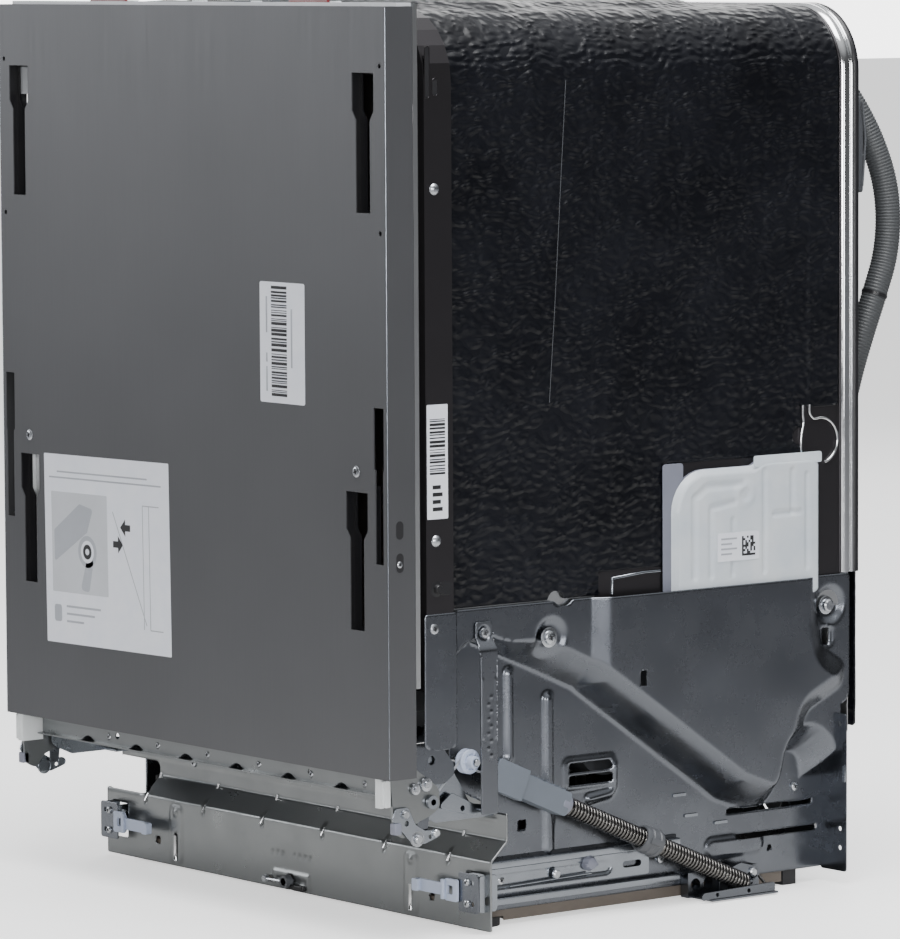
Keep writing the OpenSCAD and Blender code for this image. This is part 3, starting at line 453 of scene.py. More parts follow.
SCREW_ZINC = wire_metal("screw_zinc", (0.50, 0.52, 0.55), 0.25)
SPRING_WIRE = wire_metal("spring_wire", (0.15, 0.145, 0.14), 0.22)
GREY_PLASTIC = plastic("grey_plastic", (0.085, 0.09, 0.10), 0.45)
CHANNEL_PLASTIC = plastic("channel_plastic", (0.13, 0.15, 0.18), 0.40)
LILAC_PLASTIC = plastic("lilac_plastic", (0.19, 0.20, 0.25), 0.42)
PALE_CLIP = plastic("pale_clip", (0.46, 0.52, 0.66), 0.4)
WHITE_PLASTIC = plastic("white_plastic", (0.72, 0.75, 0.76), 0.38)
CONSOLE = plastic("console", (0.60, 0.62, 0.65), 0.36)
RED_PLASTIC = plastic("red_plastic", (0.16, 0.012, 0.016), 0.3, Coat_Weight=0.3, Coat_Roughness=0.15)
TRAY_PLASTIC = plastic("tray_plastic", (0.125, 0.105, 0.088), 0.4)
HOSE_PLASTIC = plastic("hose_plastic", (0.060, 0.064, 0.068), 0.48)
DARK_RUBBER = plastic("dark_rubber", (0.018, 0.018, 0.020), 0.62, 0.2, 0.15)
BLACK_PLASTIC = plastic("black_plastic", (0.012, 0.012, 0.014), 0.35)
RACK_COATING = plastic("rack_coating", (0.40, 0.43, 0.47), 0.38)
# Black for print, and painted shade too: slot holes and the screws' cross recesses are drawn in it.
INK_AND_SHADE = plastic("ink", (0.012, 0.012, 0.014), 0.5, 0.1)
PALE_INK = plastic("pale_ink", (0.36, 0.38, 0.42), 0.5, 0.08)
MILKY = translucent()
MAT = bitumen_mat()
PAPER = label_paper()
FELT = felt()


# ---- Flat shapes as signed distances, negative inside ----

def rounded(points, steps=6):
    """An outline of (u, v, corner radius) points with its corners made into arcs."""
    out = []
    for i, (u, v, r) in enumerate(points):
        b = np.array([u, v], float)
        a = np.array(points[i - 1][:2], float)
        c = np.array(points[(i + 1) % len(points)][:2], float)
        if r <= 0:
            out.append(b)
            continue
        ua, uc = (a - b) / np.linalg.norm(a - b), (c - b) / np.linalg.norm(c - b)
        half = math.acos(max(-1, min(1, ua @ uc))) / 2
        middle = b + (ua + uc) / np.linalg.norm(ua + uc) * r / math.sin(half)
        s, e = b + ua * r / math.tan(half) - middle, b + uc * r / math.tan(half) - middle
        a0 = math.atan2(s[1], s[0])
        turn = (math.atan2(e[1], e[0]) - a0 + math.pi) % (2 * math.pi) - math.pi
        out += [middle + r * np.array([math.cos(a0 + turn * k / steps), math.sin(a0 + turn * k / steps)])
                for k in range(steps + 1)]
    return np.array(out)


def sd_polygon(u, v, points):
    p = np.asarray(points, float)
    q = np.roll(p, -1, 0)
    best = np.full(u.shape, 1e18)
    inside = np.zeros(u.shape, bool)
    for (au, av), (bu, bv) in zip(p, q):
        eu, ev = bu - au, bv - av
        wu, wv = u - au, v - av
        t = np.clip((wu * eu + wv * ev) / (eu * eu + ev * ev + 1e-12), 0, 1)
        best = np.minimum(best, (wu - eu * t) ** 2 + (wv - ev * t) ** 2)
        crosses = (av > v) != (bv > v)
        inside ^= crosses & (u < (bu - au) * (v - av) / (bv - av + 1e-12) + au)
    return np.where(inside, -1, 1) * np.sqrt(best)


def sd_box(u, v, low, high, r=0):
    cu, cv = (low[0] + high[0]) / 2, (low[1] + high[1]) / 2
    du = np.abs(u - cu) - (high[0] - low[0]) / 2 + r
    dv = np.abs(v - cv) - (high[1] - low[1]) / 2 + r
    return np.hypot(np.maximum(du, 0), np.maximum(dv, 0)) + np.minimum(np.maximum(du, dv), 0) - r


def sd_circle(u, v, centre, r):
    return np.hypot(u - centre[0], v - centre[1]) - r


def sd_line(u, v, points, r):
    """A rounded line through points."""
    best = np.full(u.shape, 1e9)
    for (au, av), (bu, bv) in zip(points, points[1:]):
        eu, ev = bu - au, bv - av
        t = np.clip(((u - au) * eu + (v - av) * ev) / (eu * eu + ev * ev + 1e-12), 0, 1)
        best = np.minimum(best, np.hypot(u - au - eu * t, v - av - ev * t))
    return best - r


def shoulder(distance, width):
    """0 outside a shape, rising evenly from a crease at its edge to a softened shoulder at 1."""
    t = np.clip(-distance / width, 0, 1)
    return 0.75 * t + 0.25 * np.sin(t * math.pi / 2)


def ease(x):
    x = np.clip(x, 0, 1)
    return x * x * (3 - 2 * x)


def rise(distance, width):
    """0 outside a shape, 1 from width inside its edge."""
    return ease(-distance / width)


# ---- Pieces ----

def to_row(points):
    p = np.array(points, float) * MM
    p[:, 1] += FACE
    return p


class Piece:
    """Collects surfaces in layout millimetres, each with a material, and builds one object of them."""

    def __init__(self):
        self.points, self.faces, self.slots, self.materials, self.count = [], [], [], [], 0

    def add(self, points, faces, material):
        if material not in self.materials:
            self.materials.append(material)
        slot = self.materials.index(material)
        self.points.append(np.asarray(points, float))
        self.faces += [[i + self.count for i in f] for f in faces]
        self.slots += [slot] * len(faces)
        self.count += len(points)
        return self

    def mirrored(self):
        """The same piece on the other side of the body."""
        twin = Piece()
        twin.points = [p * (-1, 1, 1) for p in self.points]
        twin.faces = [f[::-1] for f in self.faces]
        twin.slots, twin.materials, twin.count = list(self.slots), list(self.materials), self.count
        return twin

    def build(self, name, body, slot=None, stands_for=(), angle=38, thickness=0, bevel=0):
        mesh = bpy.data.meshes.new(name)
        mesh.from_pydata(to_row(np.concatenate(self.points)), [], self.faces)
        for m in self.materials:
            mesh.materials.append(m)
        mesh.polygons.foreach_set("material_index", self.slots)
        mesh.polygons.foreach_set("use_smooth", [True] * len(self.faces))
        mesh.set_sharp_from_angle(angle=math.radians(angle))
        mesh.update()
        piece = bpy.data.objects.new(name, mesh)
        bpy.context.scene.collection.objects.link(piece)
        if thickness:
            m = piece.modifiers.new("thickness", "SOLIDIFY")
            m.thickness, m.offset = thickness * MM, -1
        if bevel:
            add_bevel(piece, bevel)
        if body:
            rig.ride(piece, body)
        if slot:
            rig.slot(piece, slot)
        if stands_for:
            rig.replaces(piece, *stands_for)
        return piece


def add_bevel(piece, width, segments=2):
    m = piece.modifiers.new("bevel", "BEVEL")
    m.width, m.segments, m.limit_method = width * MM, segments, "ANGLE"
    m.angle_limit = math.radians(40)


AXES = {"x": (1, 2, 0), "y": (0, 2, 1), "z": (0, 1, 2)}   # in-plane axes, then the normal axis


def placed(u, v, w, axis):
    """Points from in-plane coordinates u and v and w along the axis."""
    out = np.zeros((np.size(u), 3))
    for values, k in zip((u, v, w), AXES[axis]):
        out[:, k] = np.ravel(values)
    return out


def lathe(piece, profile, centre, axis, material, sides=32, start=0.0):
    """Turns (radius, distance along the axis) points about the axis through centre."""
    profile = np.array(profile, float)
    n = len(profile)
    a = np.arange(sides) * 2 * math.pi / sides + start
    u = (profile[:, 0][None] * np.cos(a)[:, None]).ravel()
    v = (profile[:, 0][None] * np.sin(a)[:, None]).ravel()
    w = np.tile(profile[:, 1], sides)
    points = placed(u, v, w, axis) + np.array(centre, float)
    faces = [[k * n + i, (k + 1) % sides * n + i, (k + 1) % sides * n + i + 1, k * n + i + 1]
             for k in range(sides) for i in range(n - 1)]
    if axis == "y":
        faces = [f[::-1] for f in faces]
    piece.add(points, faces, material)


def tube(piece, path, radius, material, sides=10, closed=False):
    """A round tube along a path; radius is a number or one number for each point."""
    path = np.array(path, float)
    n = len(path)
    radius = np.broadcast_to(radius, n)
    if closed:
        tangent = np.roll(path, -1, 0) - np.roll(path, 1, 0)
    else:
        tangent = np.gradient(path, axis=0)
    tangent /= np.linalg.norm(tangent, axis=1)[:, None]
    side = np.cross(tangent[0], (0, 0, 1) if abs(tangent[0][2]) < 0.9 else (1, 0, 0))
    rings = []
    a = np.arange(sides) * 2 * math.pi / sides
    for p, t, r in zip(path, tangent, radius):
        side = side - (side @ t) * t
        side /= np.linalg.norm(side)
        other = np.cross(t, side)
        rings.append(p + r * (np.cos(a)[:, None] * side + np.sin(a)[:, None] * other))
    last = n if closed else n - 1
    faces = [[i * sides + k, i * sides + (k + 1) % sides, (i + 1) % n * sides + (k + 1) % sides,
              (i + 1) % n * sides + k] for i in range(last) for k in range(sides)]
    if not closed:
        faces += [list(range(sides))[::-1], [(n - 1) * sides + k for k in range(sides)]]
    piece.add(np.concatenate(rings), faces, material)


def smooth_path(points, step=4.0):
    """Points every step along a smooth curve through the given ones."""
    p = np.array(points, float)
    p = np.concatenate([[2 * p[0] - p[1]], p, [2 * p[-1] - p[-2]]])
    out = []
    for a, b, c, d in zip(p, p[1:], p[2:], p[3:]):
        n = max(2, int(np.linalg.norm(c - b) / step))
        t = (np.arange(n) / n)[:, None]
        out.append(0.5 * (2 * b + (c - a) * t + (2 * a - 5 * b + 4 * c - d) * t ** 2
                          + (3 * b - a - 3 * c + d) * t ** 3))
    out.append(p[-2:-1])
    return np.concatenate(out)


def plate(piece, outline, axis, low, high, material, holes=(), bevel=0.3):
    """A flat plate with rolled edges: outline and holes in its plane, from low to high along the axis."""
    curve = bpy.data.curves.new("plate", "CURVE")
    curve.dimensions, curve.fill_mode = "2D", "BOTH"
    bevel = min(bevel, (high - low) / 2.2)
    curve.extrude, curve.bevel_depth = (high - low) / 2 - bevel, bevel
    curve.bevel_resolution, curve.offset = 1, -bevel
    for loop in (outline, *holes):
        spline = curve.splines.new("POLY")
        spline.points.add(len(loop) - 1)
        for point, (u, v) in zip(spline.points, loop):
            point.co = (u, v, 0, 1)
        spline.use_cyclic_u = True
    holder = bpy.data.objects.new("plate", curve)
    bpy.context.scene.collection.objects.link(holder)
    mesh = bpy.data.meshes.new_from_object(holder.evaluated_get(bpy.context.evaluated_depsgraph_get()))
    co = np.array([v.co for v in mesh.vertices], float)
    faces = [list(p.vertices) for p in mesh.polygons]
    bpy.data.objects.remove(holder)
    bpy.data.curves.remove(curve)
    bpy.data.meshes.remove(mesh)
    middle = (low + high) / 2
    if axis == "y":
        faces = [f[::-1] for f in faces]
    piece.add(placed(co[:, 0], co[:, 1], co[:, 2] + middle, axis), faces, material)


def circle(centre, r, n=20):
    a = np.arange(n) * 2 * math.pi / n
    return np.stack([centre[0] + r * np.cos(a), centre[1] + r * np.sin(a)], 1)


def box_loop(u0, v0, u1, v1, r=0.0):
    return rounded([(u0, v0, r), (u1, v0, r), (u1, v1, r), (u0, v1, r)], 4)


def block(piece, x, y, z, material, bevel=0.4, corner=0.6):
    """A moulded block with soft edges; corner rounds it in plan."""
    plate(piece, box_loop(x[0], y[0], x[1], y[1], corner), "z", z[0], z[1], material, bevel=bevel)


def screw(piece, centre, r, height, drive="cross", washer=0, axis="x", direction=1):
    """Pan head screw standing out of a face, with a cross recess or as a plain hex bolt; the recess is not cut but
    drawn as a raised black cross of painted shade.
    """
    if washer:
        lathe(piece, [(0, 0), (washer, 0), (washer, 0.9 * direction), (washer * 0.9, 1.3 * direction),
                      (0, 1.3 * direction)][::direction], centre, axis, SCREW_ZINC)
    profile = [(0, height * 0.55), (r * 0.30, height * 0.6), (r * 0.36, height), (r * 0.62, height * 0.96),
               (r * 0.88, height * 0.72), (r, height * 0.3), (r, 0)]
    if drive != "cross":
        profile = [(0, height), (r * 0.7, height), (r * 0.95, height * 0.8), (r, height * 0.5), (r, 0)]
    lathe(piece, [(a, b * direction) for a, b in profile][::-direction], centre, axis, SCREW_ZINC, 24)
    # Painted shade: the cross recess is two thin black bars laid on the head.
    if drive == "cross":
        k = AXES[axis][2]
        at = np.array(centre, float)
        at[k] += direction * height * 0.9
        for turn in (0.4, 0.4 + math.pi / 2):
            u, v = math.cos(turn) * r * 0.5, math.sin(turn) * r * 0.5
            step = placed([u], [v], [0], axis)[0]
            tube(piece, [at - step, at + step], r * 0.09, INK_AND_SHADE, 6)


def pressed(piece, u_range, v_range, step, edge, height, place, material):
    """A pressed sheet: a fine grid over (u, v), trimmed to edge(u, v) < 0 and raised by height(u, v).

    place is the axis that the height runs along, or a function from (u, v, height) to points.
    """
    u, v = np.meshgrid(np.arange(u_range[0], u_range[1] + step, step),
                       np.arange(v_range[0], v_range[1] + step, step), indexing="ij")
    d = edge(u, v)
    gu, gv = np.gradient(d, step)
    size = np.maximum(gu ** 2 + gv ** 2, 0.25)
    near = np.abs(d) < 0.72 * step
    u = u - np.where(near, d * gu / size, 0)
    v = v - np.where(near, d * gv / size, 0)
    keep = d < 0.72 * step
    rows, columns = d.shape
    index = np.arange(rows * columns).reshape(rows, columns)
    whole = keep[:-1, :-1] & keep[1:, :-1] & keep[1:, 1:] & keep[:-1, 1:]
    quads = np.stack([index[:-1, :-1], index[1:, :-1], index[1:, 1:], index[:-1, 1:]], -1)[whole]
    used = np.unique(quads)
    new = np.zeros(rows * columns, int)
    new[used] = np.arange(len(used))
    u, v = u.ravel()[used], v.ravel()[used]
    h = height(u, v)
    points = placed(u, v, h, place) if isinstance(place, str) else place(u, v, h)
    piece.add(points, new[quads].tolist(), material)


def profile_map(corners, steps=8):
    """A bent sheet's section: from distance along it and height off it to the section's two axes."""
    line = rounded([*corners], steps)
    along = np.concatenate([[0], np.cumsum(np.linalg.norm(np.diff(line, axis=0), axis=1))])
    tangent = np.gradient(line, along, axis=0)
    tangent /= np.linalg.norm(tangent, axis=1)[:, None]

    def place(s, h):
        a, b = (np.interp(s, along, line[:, k]) for k in (0, 1))
        ta, tb = (np.interp(s, along, tangent[:, k]) for k in (0, 1))
        return a + tb * h, b - ta * h
    return place, along[-1]


def both(make, name, body, slot, stands_for=None, **options):
    """Builds a piece on the right side and its mirror image on the left; {} stands for the side."""
    piece = Piece()
    make(piece)
    for side, half in (("right", piece), ("left", piece.mirrored())):
        half.build(f"{name}_{side}", body.format(side), slot, [stands_for.format(side)] if stands_for else (),
                   **options)


def finish_node(name, material, bevel=0.5):
    """Gives a CAD node its material and softens its edges."""
    node = frame["nodes"][name]
    node.data.materials.clear()
    node.data.materials.append(material)
    if bevel:
        add_bevel(node, bevel)


class Lattice:
    """Smooth random values over a plane, the same each run."""

    def __init__(self, seed):
        self.values = np.random.default_rng(seed).uniform(-1, 1, (128, 128))

    def at(self, u, v):
        iu, iv = np.floor(u).astype(int), np.floor(v).astype(int)
        fu, fv = ease(u - iu), ease(v - iv)
        a, b = self.values[iu % 128, iv % 128], self.values[(iu + 1) % 128, iv % 128]
        c, d = self.values[iu % 128, (iv + 1) % 128], self.values[(iu + 1) % 128, (iv + 1) % 128]
        return (a * (1 - fu) + b * fu) * (1 - fv) + (c * (1 - fu) + d * fu) * fv


WAVES = Lattice(11)
CREASES = Lattice(23)


# ---- Drain hose ----

HOSE_BACK = 558
HOSE_R = 12
HOSE_RIB = 3.0                               # pitch of the hose's corrugations
HOSE = [(200, -12, 72), (200, -2, 72), (200, 8, 75), (201, 15, 83), (202, 18, 95), (203, 18, 112),
        (206, 18, 150), (210, 18, 200), (216, 18, 260), (224, 18, 320), (232, 18, 380), (241, 20, 430),
        (248, 25, 470), (254, 34, 508), (258, 46, 545), (260, 57, 580), (260, 61, 615), (258, 58, 650),
        (253, 48, 685), (244, 36, 716), (230, 26, 742), (210, 20, 762), (184, 18, 776), (154, 18, 783),
        (122, 18, 784), (90, 18, 779), (62, 18, 766), (40, 18, 747), (26, 18, 722), (18, 18, 692),
        (14, 18, 650), (12, 18, 600), (10, 18, 540), (8, 18, 480), (6, 18, 420), (4, 18, 360),
        (2, 18, 300), (0, 18, 240)]

hose_line = smooth_path([(x, HOSE_BACK + y, z) for x, y, z in HOSE], HOSE_RIB / 6)
run = np.concatenate([[0], np.cumsum(np.linalg.norm(np.diff(hose_line, axis=0), axis=1))])
hose = Piece()
tube(hose, hose_line, HOSE_R - 0.3 + 0.3 * np.cos(run / HOSE_RIB * 2 * math.pi), HOSE_PLASTIC, 20)
hose_piece = hose.build("drain_hose_corrugated", "cabinet", "hose_plastic", ["drain_hose"], angle=70)
hose_path = to_row(hose_line)
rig.cord(hose_piece, exit=hose_path[0], length=run[-1] * MM, diameter=2 * HOSE_R * MM, far_end="object",
        stiffness="stiff", lay="hanging", path=hose_path)

band = Piece()
rising = np.where(hose_line[:, 0] > 200, np.abs(hose_line[:, 2] - 545), 1e9)
middle = int(np.argmin(rising))
tube(band, hose_line[middle - 3:middle + 4], HOSE_R + 0.35, BLACK_PLASTIC, 24)
lathe(band, [(15.4, 12), (16.4, 12), (16.4, -12), (15.4, -12)], (0, 576, 214), "z", SCREW_ZINC, 32)
block(band, (-4, 4), (592, 597), (206, 222), SCREW_ZINC)
band.build("hose_bands", "cabinet", "grey_plastic", angle=50)


holder = Piece()
plate(holder, rounded([(238, 640, 3), (262, 640, 3), (262, 700, 4), (258, 730, 4), (238, 730, 4)]), "y", 561, 586,
      GREY_PLASTIC)
tube(holder, [(262, 585, 646), (263, 588, 690), (262, 585, 724)], 1.2, GREY_PLASTIC, 8)
holder.build("drain_hose_holder", "cabinet", "grey_plastic", angle=35)


# ---- Base side panels ----

FRONT_SHAPE = rounded([(40, 171, 6), (80, 171, 12), (86, 200, 8), (88, 250, 20), (118, 257, 14), (232, 207, 18),
                       (400, 90, 40), (466, 66, 34), (484, 124, 20), (498, 156, 18), (546, 172, 12),
                       (546, 290, 3), (40, 290, 3)])
FRONT_LEVEL = rounded([(-20, 100, 0), (86, 100, 0), (88, 250, 20), (118, 257, 14), (232, 207, 18), (400, 90, 40),
                       (466, 66, 34), (484, 124, 20), (499, 152, 12), (507, 100, 0), (600, 100, 0),
                       (600, 340, 0), (-20, 340, 0)])
BULGE_SHAPE = rounded([(236, 330, 0), (236, 206, 10), (402, 96, 36), (462, 74, 34), (480, 128, 22),
                       (492, 166, 20), (536, 186, 14), (540, 205, 10), (512, 222, 18), (506, 250, 20),
                       (506, 330, 0)])
RECESS_SHAPE = rounded([(94, 262, 2), (94, 150, 10), (104, 126, 8), (134, 112, 4), (134, 14, 2),
                        (535, 14, 2), (535, 172, 2), (500, 200, 2), (480, 262, 2)])


def panel_edge(y, z):
    body = np.minimum(sd_polygon(y, z, FRONT_SHAPE), sd_polygon(y, z, RECESS_SHAPE))
    holes = [np.maximum(sd_box(y, z, (230, 118), (278, 138), 1), -sd_box(y, z, (225, 126.6), (283, 129.4))),
             sd_box(y, z, (172, 84), (181, 93), 1), sd_box(y, z, (418, 74), (522, 79), 1),
             sd_box(y, z, (428, 49), (528, 55), 1), sd_circle(y, z, (505, 40), 2.4),
             sd_box(y, z, (286, 207), (293, 221), 0.8), sd_circle(y, z, (470, 38), 2.8),
             sd_line(y, z, [(518, 229), (518, 237)], 4.2), sd_circle(y, z, (188, 258), 3.4),
             sd_circle(y, z, (204, 299), 14)]
    for hole in holes:
        body = np.maximum(body, -hole)
    return body


def panel_height(y, z):
    slope = 9 + 18 * ease((y - 128) / 70)                # the recess has a steep front end and a long ramp
    x = RECESS_PLANE + (FRONT_PLANE - RECESS_PLANE) * shoulder(sd_polygon(y, z, FRONT_LEVEL), slope)
    x += (BULGE_PLANE - FRONT_PLANE) * shoulder(sd_polygon(y, z, BULGE_SHAPE) - 1, 18)
    x += (BULGE_PLANE + 0.6 - FRONT_PLANE) * rise(sd_box(y, z, (-60, 60), (84, 400), 10), 10)
    x += 4.2 * rise(sd_line(y, z, [(161, 226), (161, 150), (156, 144), (147, 142)], 6.5), 6)
    x += 4.2 * rise(sd_line(y, z, [(206, 199), (206, 64)], 8), 7)
    x += 3.2 * rise(sd_line(y, z, [(282, 132), (282, 112), (278, 107), (254, 104)], 6), 5.5)
    x += 1.6 * rise(sd_box(y, z, (222, 112), (286, 144), 8), 4)
    x += 2.2 * rise(sd_line(y, z, [(400, 44), (452, 44)], 11), 5)
    x -= 3.6 * rise(sd_circle(y, z, (190, 258), 20), 9)
    x += 1.6 * rise(sd_circle(y, z, (188, 258), 8), 2.5)
    x -= 5.5 * rise(sd_circle(y, z, (522, 262), 20), 10)
    x += 2.5 * rise(sd_circle(y, z, (518, 262), 7), 3)
    x -= 2.0 * rise(sd_box(y, z, (508, 222), (528, 244), 8), 4)
    x += 0.4 * WAVES.at(y / 46, z / 46)
    return x


def base_side(p):
    pressed(p, (40, 548), (12, 292), 2.0, panel_edge, panel_height, "x", GALVANIZED)


both(base_side, "base_panel_pressed", "cabinet", "galvanized", "base_panel_{}", angle=50, thickness=1.2)


def panel_fittings(p):
    """Rear flange, pressed tabs and screws of a base side panel."""
    plate(p, box_loop(RECESS_PLANE - 1, 12, 296.8, 160, 3), "y", 534, 535.2, GALVANIZED,
          [circle((288, 34), 2.2), circle((288, 52), 2.2), circle((288, 150), 2.2)])
    plate(p, box_loop(293, 96, 296.6, 112, 1), "y", 532.4, 534.4, BRIGHT_ZINC)
    for y, z in ((366, 76), (402, 66), (352, 96)):
        plate(p, box_loop(y, z, y + 16, z + 3, 1), "x", 262, 263.6, BRIGHT_ZINC)
    screw(p, (286.4, 188, 258), 6.4, 4.2, washer=9)
    screw(p, (286, 518, 262), 6, 6, "hex", washer=8.5)
    screw(p, (262, 500, 92), 4.6, 3)
    screw(p, (262, 140, 96), 4.2, 2.6)
    screw(p, (287.6, 56, 280), 5, 3)


both(panel_fittings, "base_panel_fittings", "cabinet", "galvanized", angle=35)


# ---- Sound mat ----

arch, arch_length = profile_map([(MAT_PLANE, MAT_BOTTOM, 0), (MAT_PLANE, MAT_TOP, MAT_CORNER),
                                 (-MAT_PLANE, MAT_TOP, MAT_CORNER), (-MAT_PLANE, MAT_BOTTOM, 0)], 20)
SMOOTH_FROM = 498                            # the mat is smooth from here to its rear edge
MAT_RIDGES = (96, 128, 168, 212, 262, 306, 356, 404, 452, 498)


def mat_edge(y, s):
    up = MAT_BOTTOM + np.minimum(s, arch_length - s)     # height where the mat is upright
    d = sd_box(y, up, (74.5, 291.4), (534, 2000), 2)
    for low, high, top in ((246, 321, 312), (321, 488, 406), (488, 560, 448)):
        d = np.maximum(d, -sd_box(y, up, (low, 200), (high, top), 3))
    for middle, r in (((196, 290), 9), ((486, 420), 8)):
        d = np.maximum(d, -sd_circle(y, up, middle, r))
    return d


def mat_height(y, s):
    up = np.minimum(s, arch_length - s)
    h = np.zeros(y.shape)
    for k, ridge in enumerate(MAT_RIDGES):
        middle = ridge + 5 * WAVES.at(s / 90, np.full(s.shape, k * 3.7))
        h += 0.85 * np.exp(-((y - middle) / (5.5 + k % 3)) ** 2) * (0.55 + 0.45 * WAVES.at(s / 60, y * 0 + k))
    crease = 1 - np.abs(CREASES.at(y / 10.5, s / 4.2) + 0.5 * CREASES.at(y / 5.1 + 9, s / 2.6))
    h += (0.16 * crease * (0.7 + 0.3 * WAVES.at(y / 25, s / 25)) - 0.35) * (y < SMOOTH_FROM)
    h += 0.8 * WAVES.at(y / 70, s / 55)
    h -= 0.48 * rise(sd_line(y, up, [(90, 478), (520, 478)], 3), 3)
    h += 1.2 * np.exp(-((y - 150) / 16) ** 2 - ((up - 168) / 3.5) ** 2)
    for seam in (241, 329, SMOOTH_FROM):
        h += 0.5 * np.exp(-((y - seam) / 1.6) ** 2)
    pad = sd_box(np.abs(s - arch_length / 2), y, (-300, 84), (238 + 9 * WAVES.at(y / 60, y * 0), 430), 20)
    h += 6.2 * rise(pad, 26) * (1 + 0.10 * WAVES.at(y / 50, s / 50))
    return h


mat = Piece()
pressed(mat, (74, 535), (0, arch_length), 1.75, mat_edge, mat_height,
        lambda u, v, h: np.stack([arch(v, h)[0], u, arch(v, h)[1]], 1), MAT)
mat.build("sound_mat_embossed", "cabinet", "mat_bitumen", ["sound_mat"], 60, 2.0)

thread = Piece()
tube(thread, [(MAT_PLANE + 1.3, 209, 751), (MAT_PLANE + 1.4, 204, 680), (MAT_PLANE + 1.5, 196, 560),
              (MAT_PLANE + 1.3, 189, 467)], 0.3, GREY_PLASTIC, 6)
thread.build("mat_seam", "cabinet", "mat_bitumen")

rear_mat = Piece()
REAR_SHAPE = rounded([(-287, 146.5, 3), (287, 146.5, 3), (287, 814, 60), (-287, 814, 60)], 10)
pressed(rear_mat, (-289, 289), (146, 815), 3.0, lambda x, z: sd_polygon(x, z, REAR_SHAPE),
        lambda x, z: (556.4 + 0.5 * WAVES.at(x / 30, z / 30)
                      + 0.3 * np.abs(CREASES.at(x / 12, z / 6)) - 2.0 * (sd_polygon(x, z, REAR_SHAPE) > -3)),
        "y", MAT)
for f in rear_mat.faces:
    f.reverse()
rear_mat.build("rear_mat_embossed", "cabinet", "mat_bitumen", ["rear_mat"], 60, 1.8)


# ---- Rear bead of the tub ----

def arch_line(half, low, top, corner, y, step=14):
    line = rounded([(half, low, 0), (half, top, corner), (-half, top, corner), (-half, low, 0)], step)
    return np.stack([line[:, 0], np.full(len(line), y), line[:, 1]], 1)


bead = Piece()
tube(bead, arch_line(281.6, MAT_BOTTOM, 809.1, 56, 542.6), 7.2, POLISHED, 24)
tube(bead, arch_line(286.6, MAT_BOTTOM, 814.1, 60, 549.2), 2.2, POLISHED, 12)
tube(bead, arch_line(284.8, MAT_BOTTOM, 812.3, 60, 536.6), 1.6, FRAME_STEEL, 10)
tube(bead, arch_line(284.6, MAT_BOTTOM, 812.1, 58, 554.4), 4.2, BLACK_PLASTIC, 12)
bead.build("tub_rear_bead", "cabinet", "stainless", ["rear_flange"], 60)


# ---- Water box ----

WATER_SHAPE = rounded([(329, 200, 10), (470, 200, 10), (474, 262, 6), (506, 276, 6), (506, 397, 6),
                       (494, 403, 5), (436, 403, 4), (424, 397, 4), (329, 397, 38)], 8)


def water_height(y, z):
    d = sd_polygon(y, z, WATER_SHAPE)
    h = 288.5 + 6.0 * rise(d, 5)
    for line, r in (([(352, 300), (352, 372), (368, 382), (408, 382)], 4.5),
                    ([(372, 300), (372, 362), (400, 366)], 4), ([(398, 350), (398, 300)], 3.5),
                    ([(436, 392), (436, 300)], 3.5), ([(470, 390), (470, 352)], 4),
                    ([(488, 386), (488, 300)], 3.5), ([(448, 352), (480, 352)], 3.5)):
        h -= 1.7 * rise(sd_line(y, z, line, r), 3)
    h += 0.8 * rise(sd_circle(y, z, (412, 372), 14), 4) - 1.4 * rise(sd_circle(y, z, (412, 372), 7), 3)
    return h


water = Piece()
pressed(water, (328, 508), (154, 405), 1.8, lambda y, z: sd_polygon(y, z, WATER_SHAPE), water_height, "x",
        MILKY)
plate(water, box_loop(424, 396, 506, 406, 2), "x", 292.6, 294.2, MILKY)
plate(water, box_loop(320, 286, 344, 404, 3), "x", 286.8, 288.0, LILAC_PLASTIC)
plate(water, WATER_SHAPE, "x", 285.4, 286.6, LILAC_PLASTIC)
water.build("water_box_moulded", "cabinet", "water_box_plastic", ["water_box"], 45)

water_label = Piece()
plate(water_label, box_loop(379, 312, 429, 338, 1), "x", 294.6, 294.9, PAPER, bevel=0.05)
marks = np.random.default_rng(5)
for row in range(9):
    for column in range(8):
        if marks.random() < 0.55 or row == 0 or column == 0:
            block(water_label, (294.9, 295.05), (408 + column * 2, 410 + column * 2),
                  (316 + row * 2, 318 + row * 2), INK_AND_SHADE, 0.02, 0.05)
for row in range(4):
    block(water_label, (294.9, 295.05), (383, 396 + 6 * (row % 2)), (318 + row * 4.6, 319.6 + row * 4.6), PALE_INK,
          0.02, 0.05)
water_label.build("water_box_label", "cabinet", "light_plastic")

RING = [(287, 489, 449), (286.8, 489, 440), (286.6, 490, 433), (286.5, 487.5, 420), (286.5, 487, 408),
        (286.4, 489, 401)]
RING_NECK = [(287, 497, 449), (286.8, 497.5, 441), (286.6, 502, 436)]
RING_ARC = [(286.4, 511 + 21 * math.sin(a), 415 + 21 * math.cos(a)) for a in np.linspace(-0.2, 2.9, 24)]


def side_skin(p):
    """Dark tub sheet shown by the mat's cut-outs, with the keyhole embossed in it."""
    plate(p, rounded([(242, 286, 0), (537, 286, 0), (537, 452, 2), (320, 452, 2), (320, 330, 2),
                      (242, 330, 2)]), "x", 284.3, 285.2, FRAME_STEEL)
    tube(p, smooth_path(RING, 2), 1.3, POLISHED, 10)
    tube(p, smooth_path(RING_NECK + RING_ARC, 2), 1.3, POLISHED, 10)
    tube(p, [(285.4, 262, 291), (285.6, 262, 305), (285.6, 300, 308), (285.4, 318, 308)], 1.6, BRIGHT_ZINC, 10)


both(side_skin, "tub_side_skin", "cabinet", "stainless", angle=60)


# ---- Springs, tensioners and rollers ----

SPRING_ENDS = (8, 240)
SPRING_PITCH = 3.9
WIRE_R = 1.3


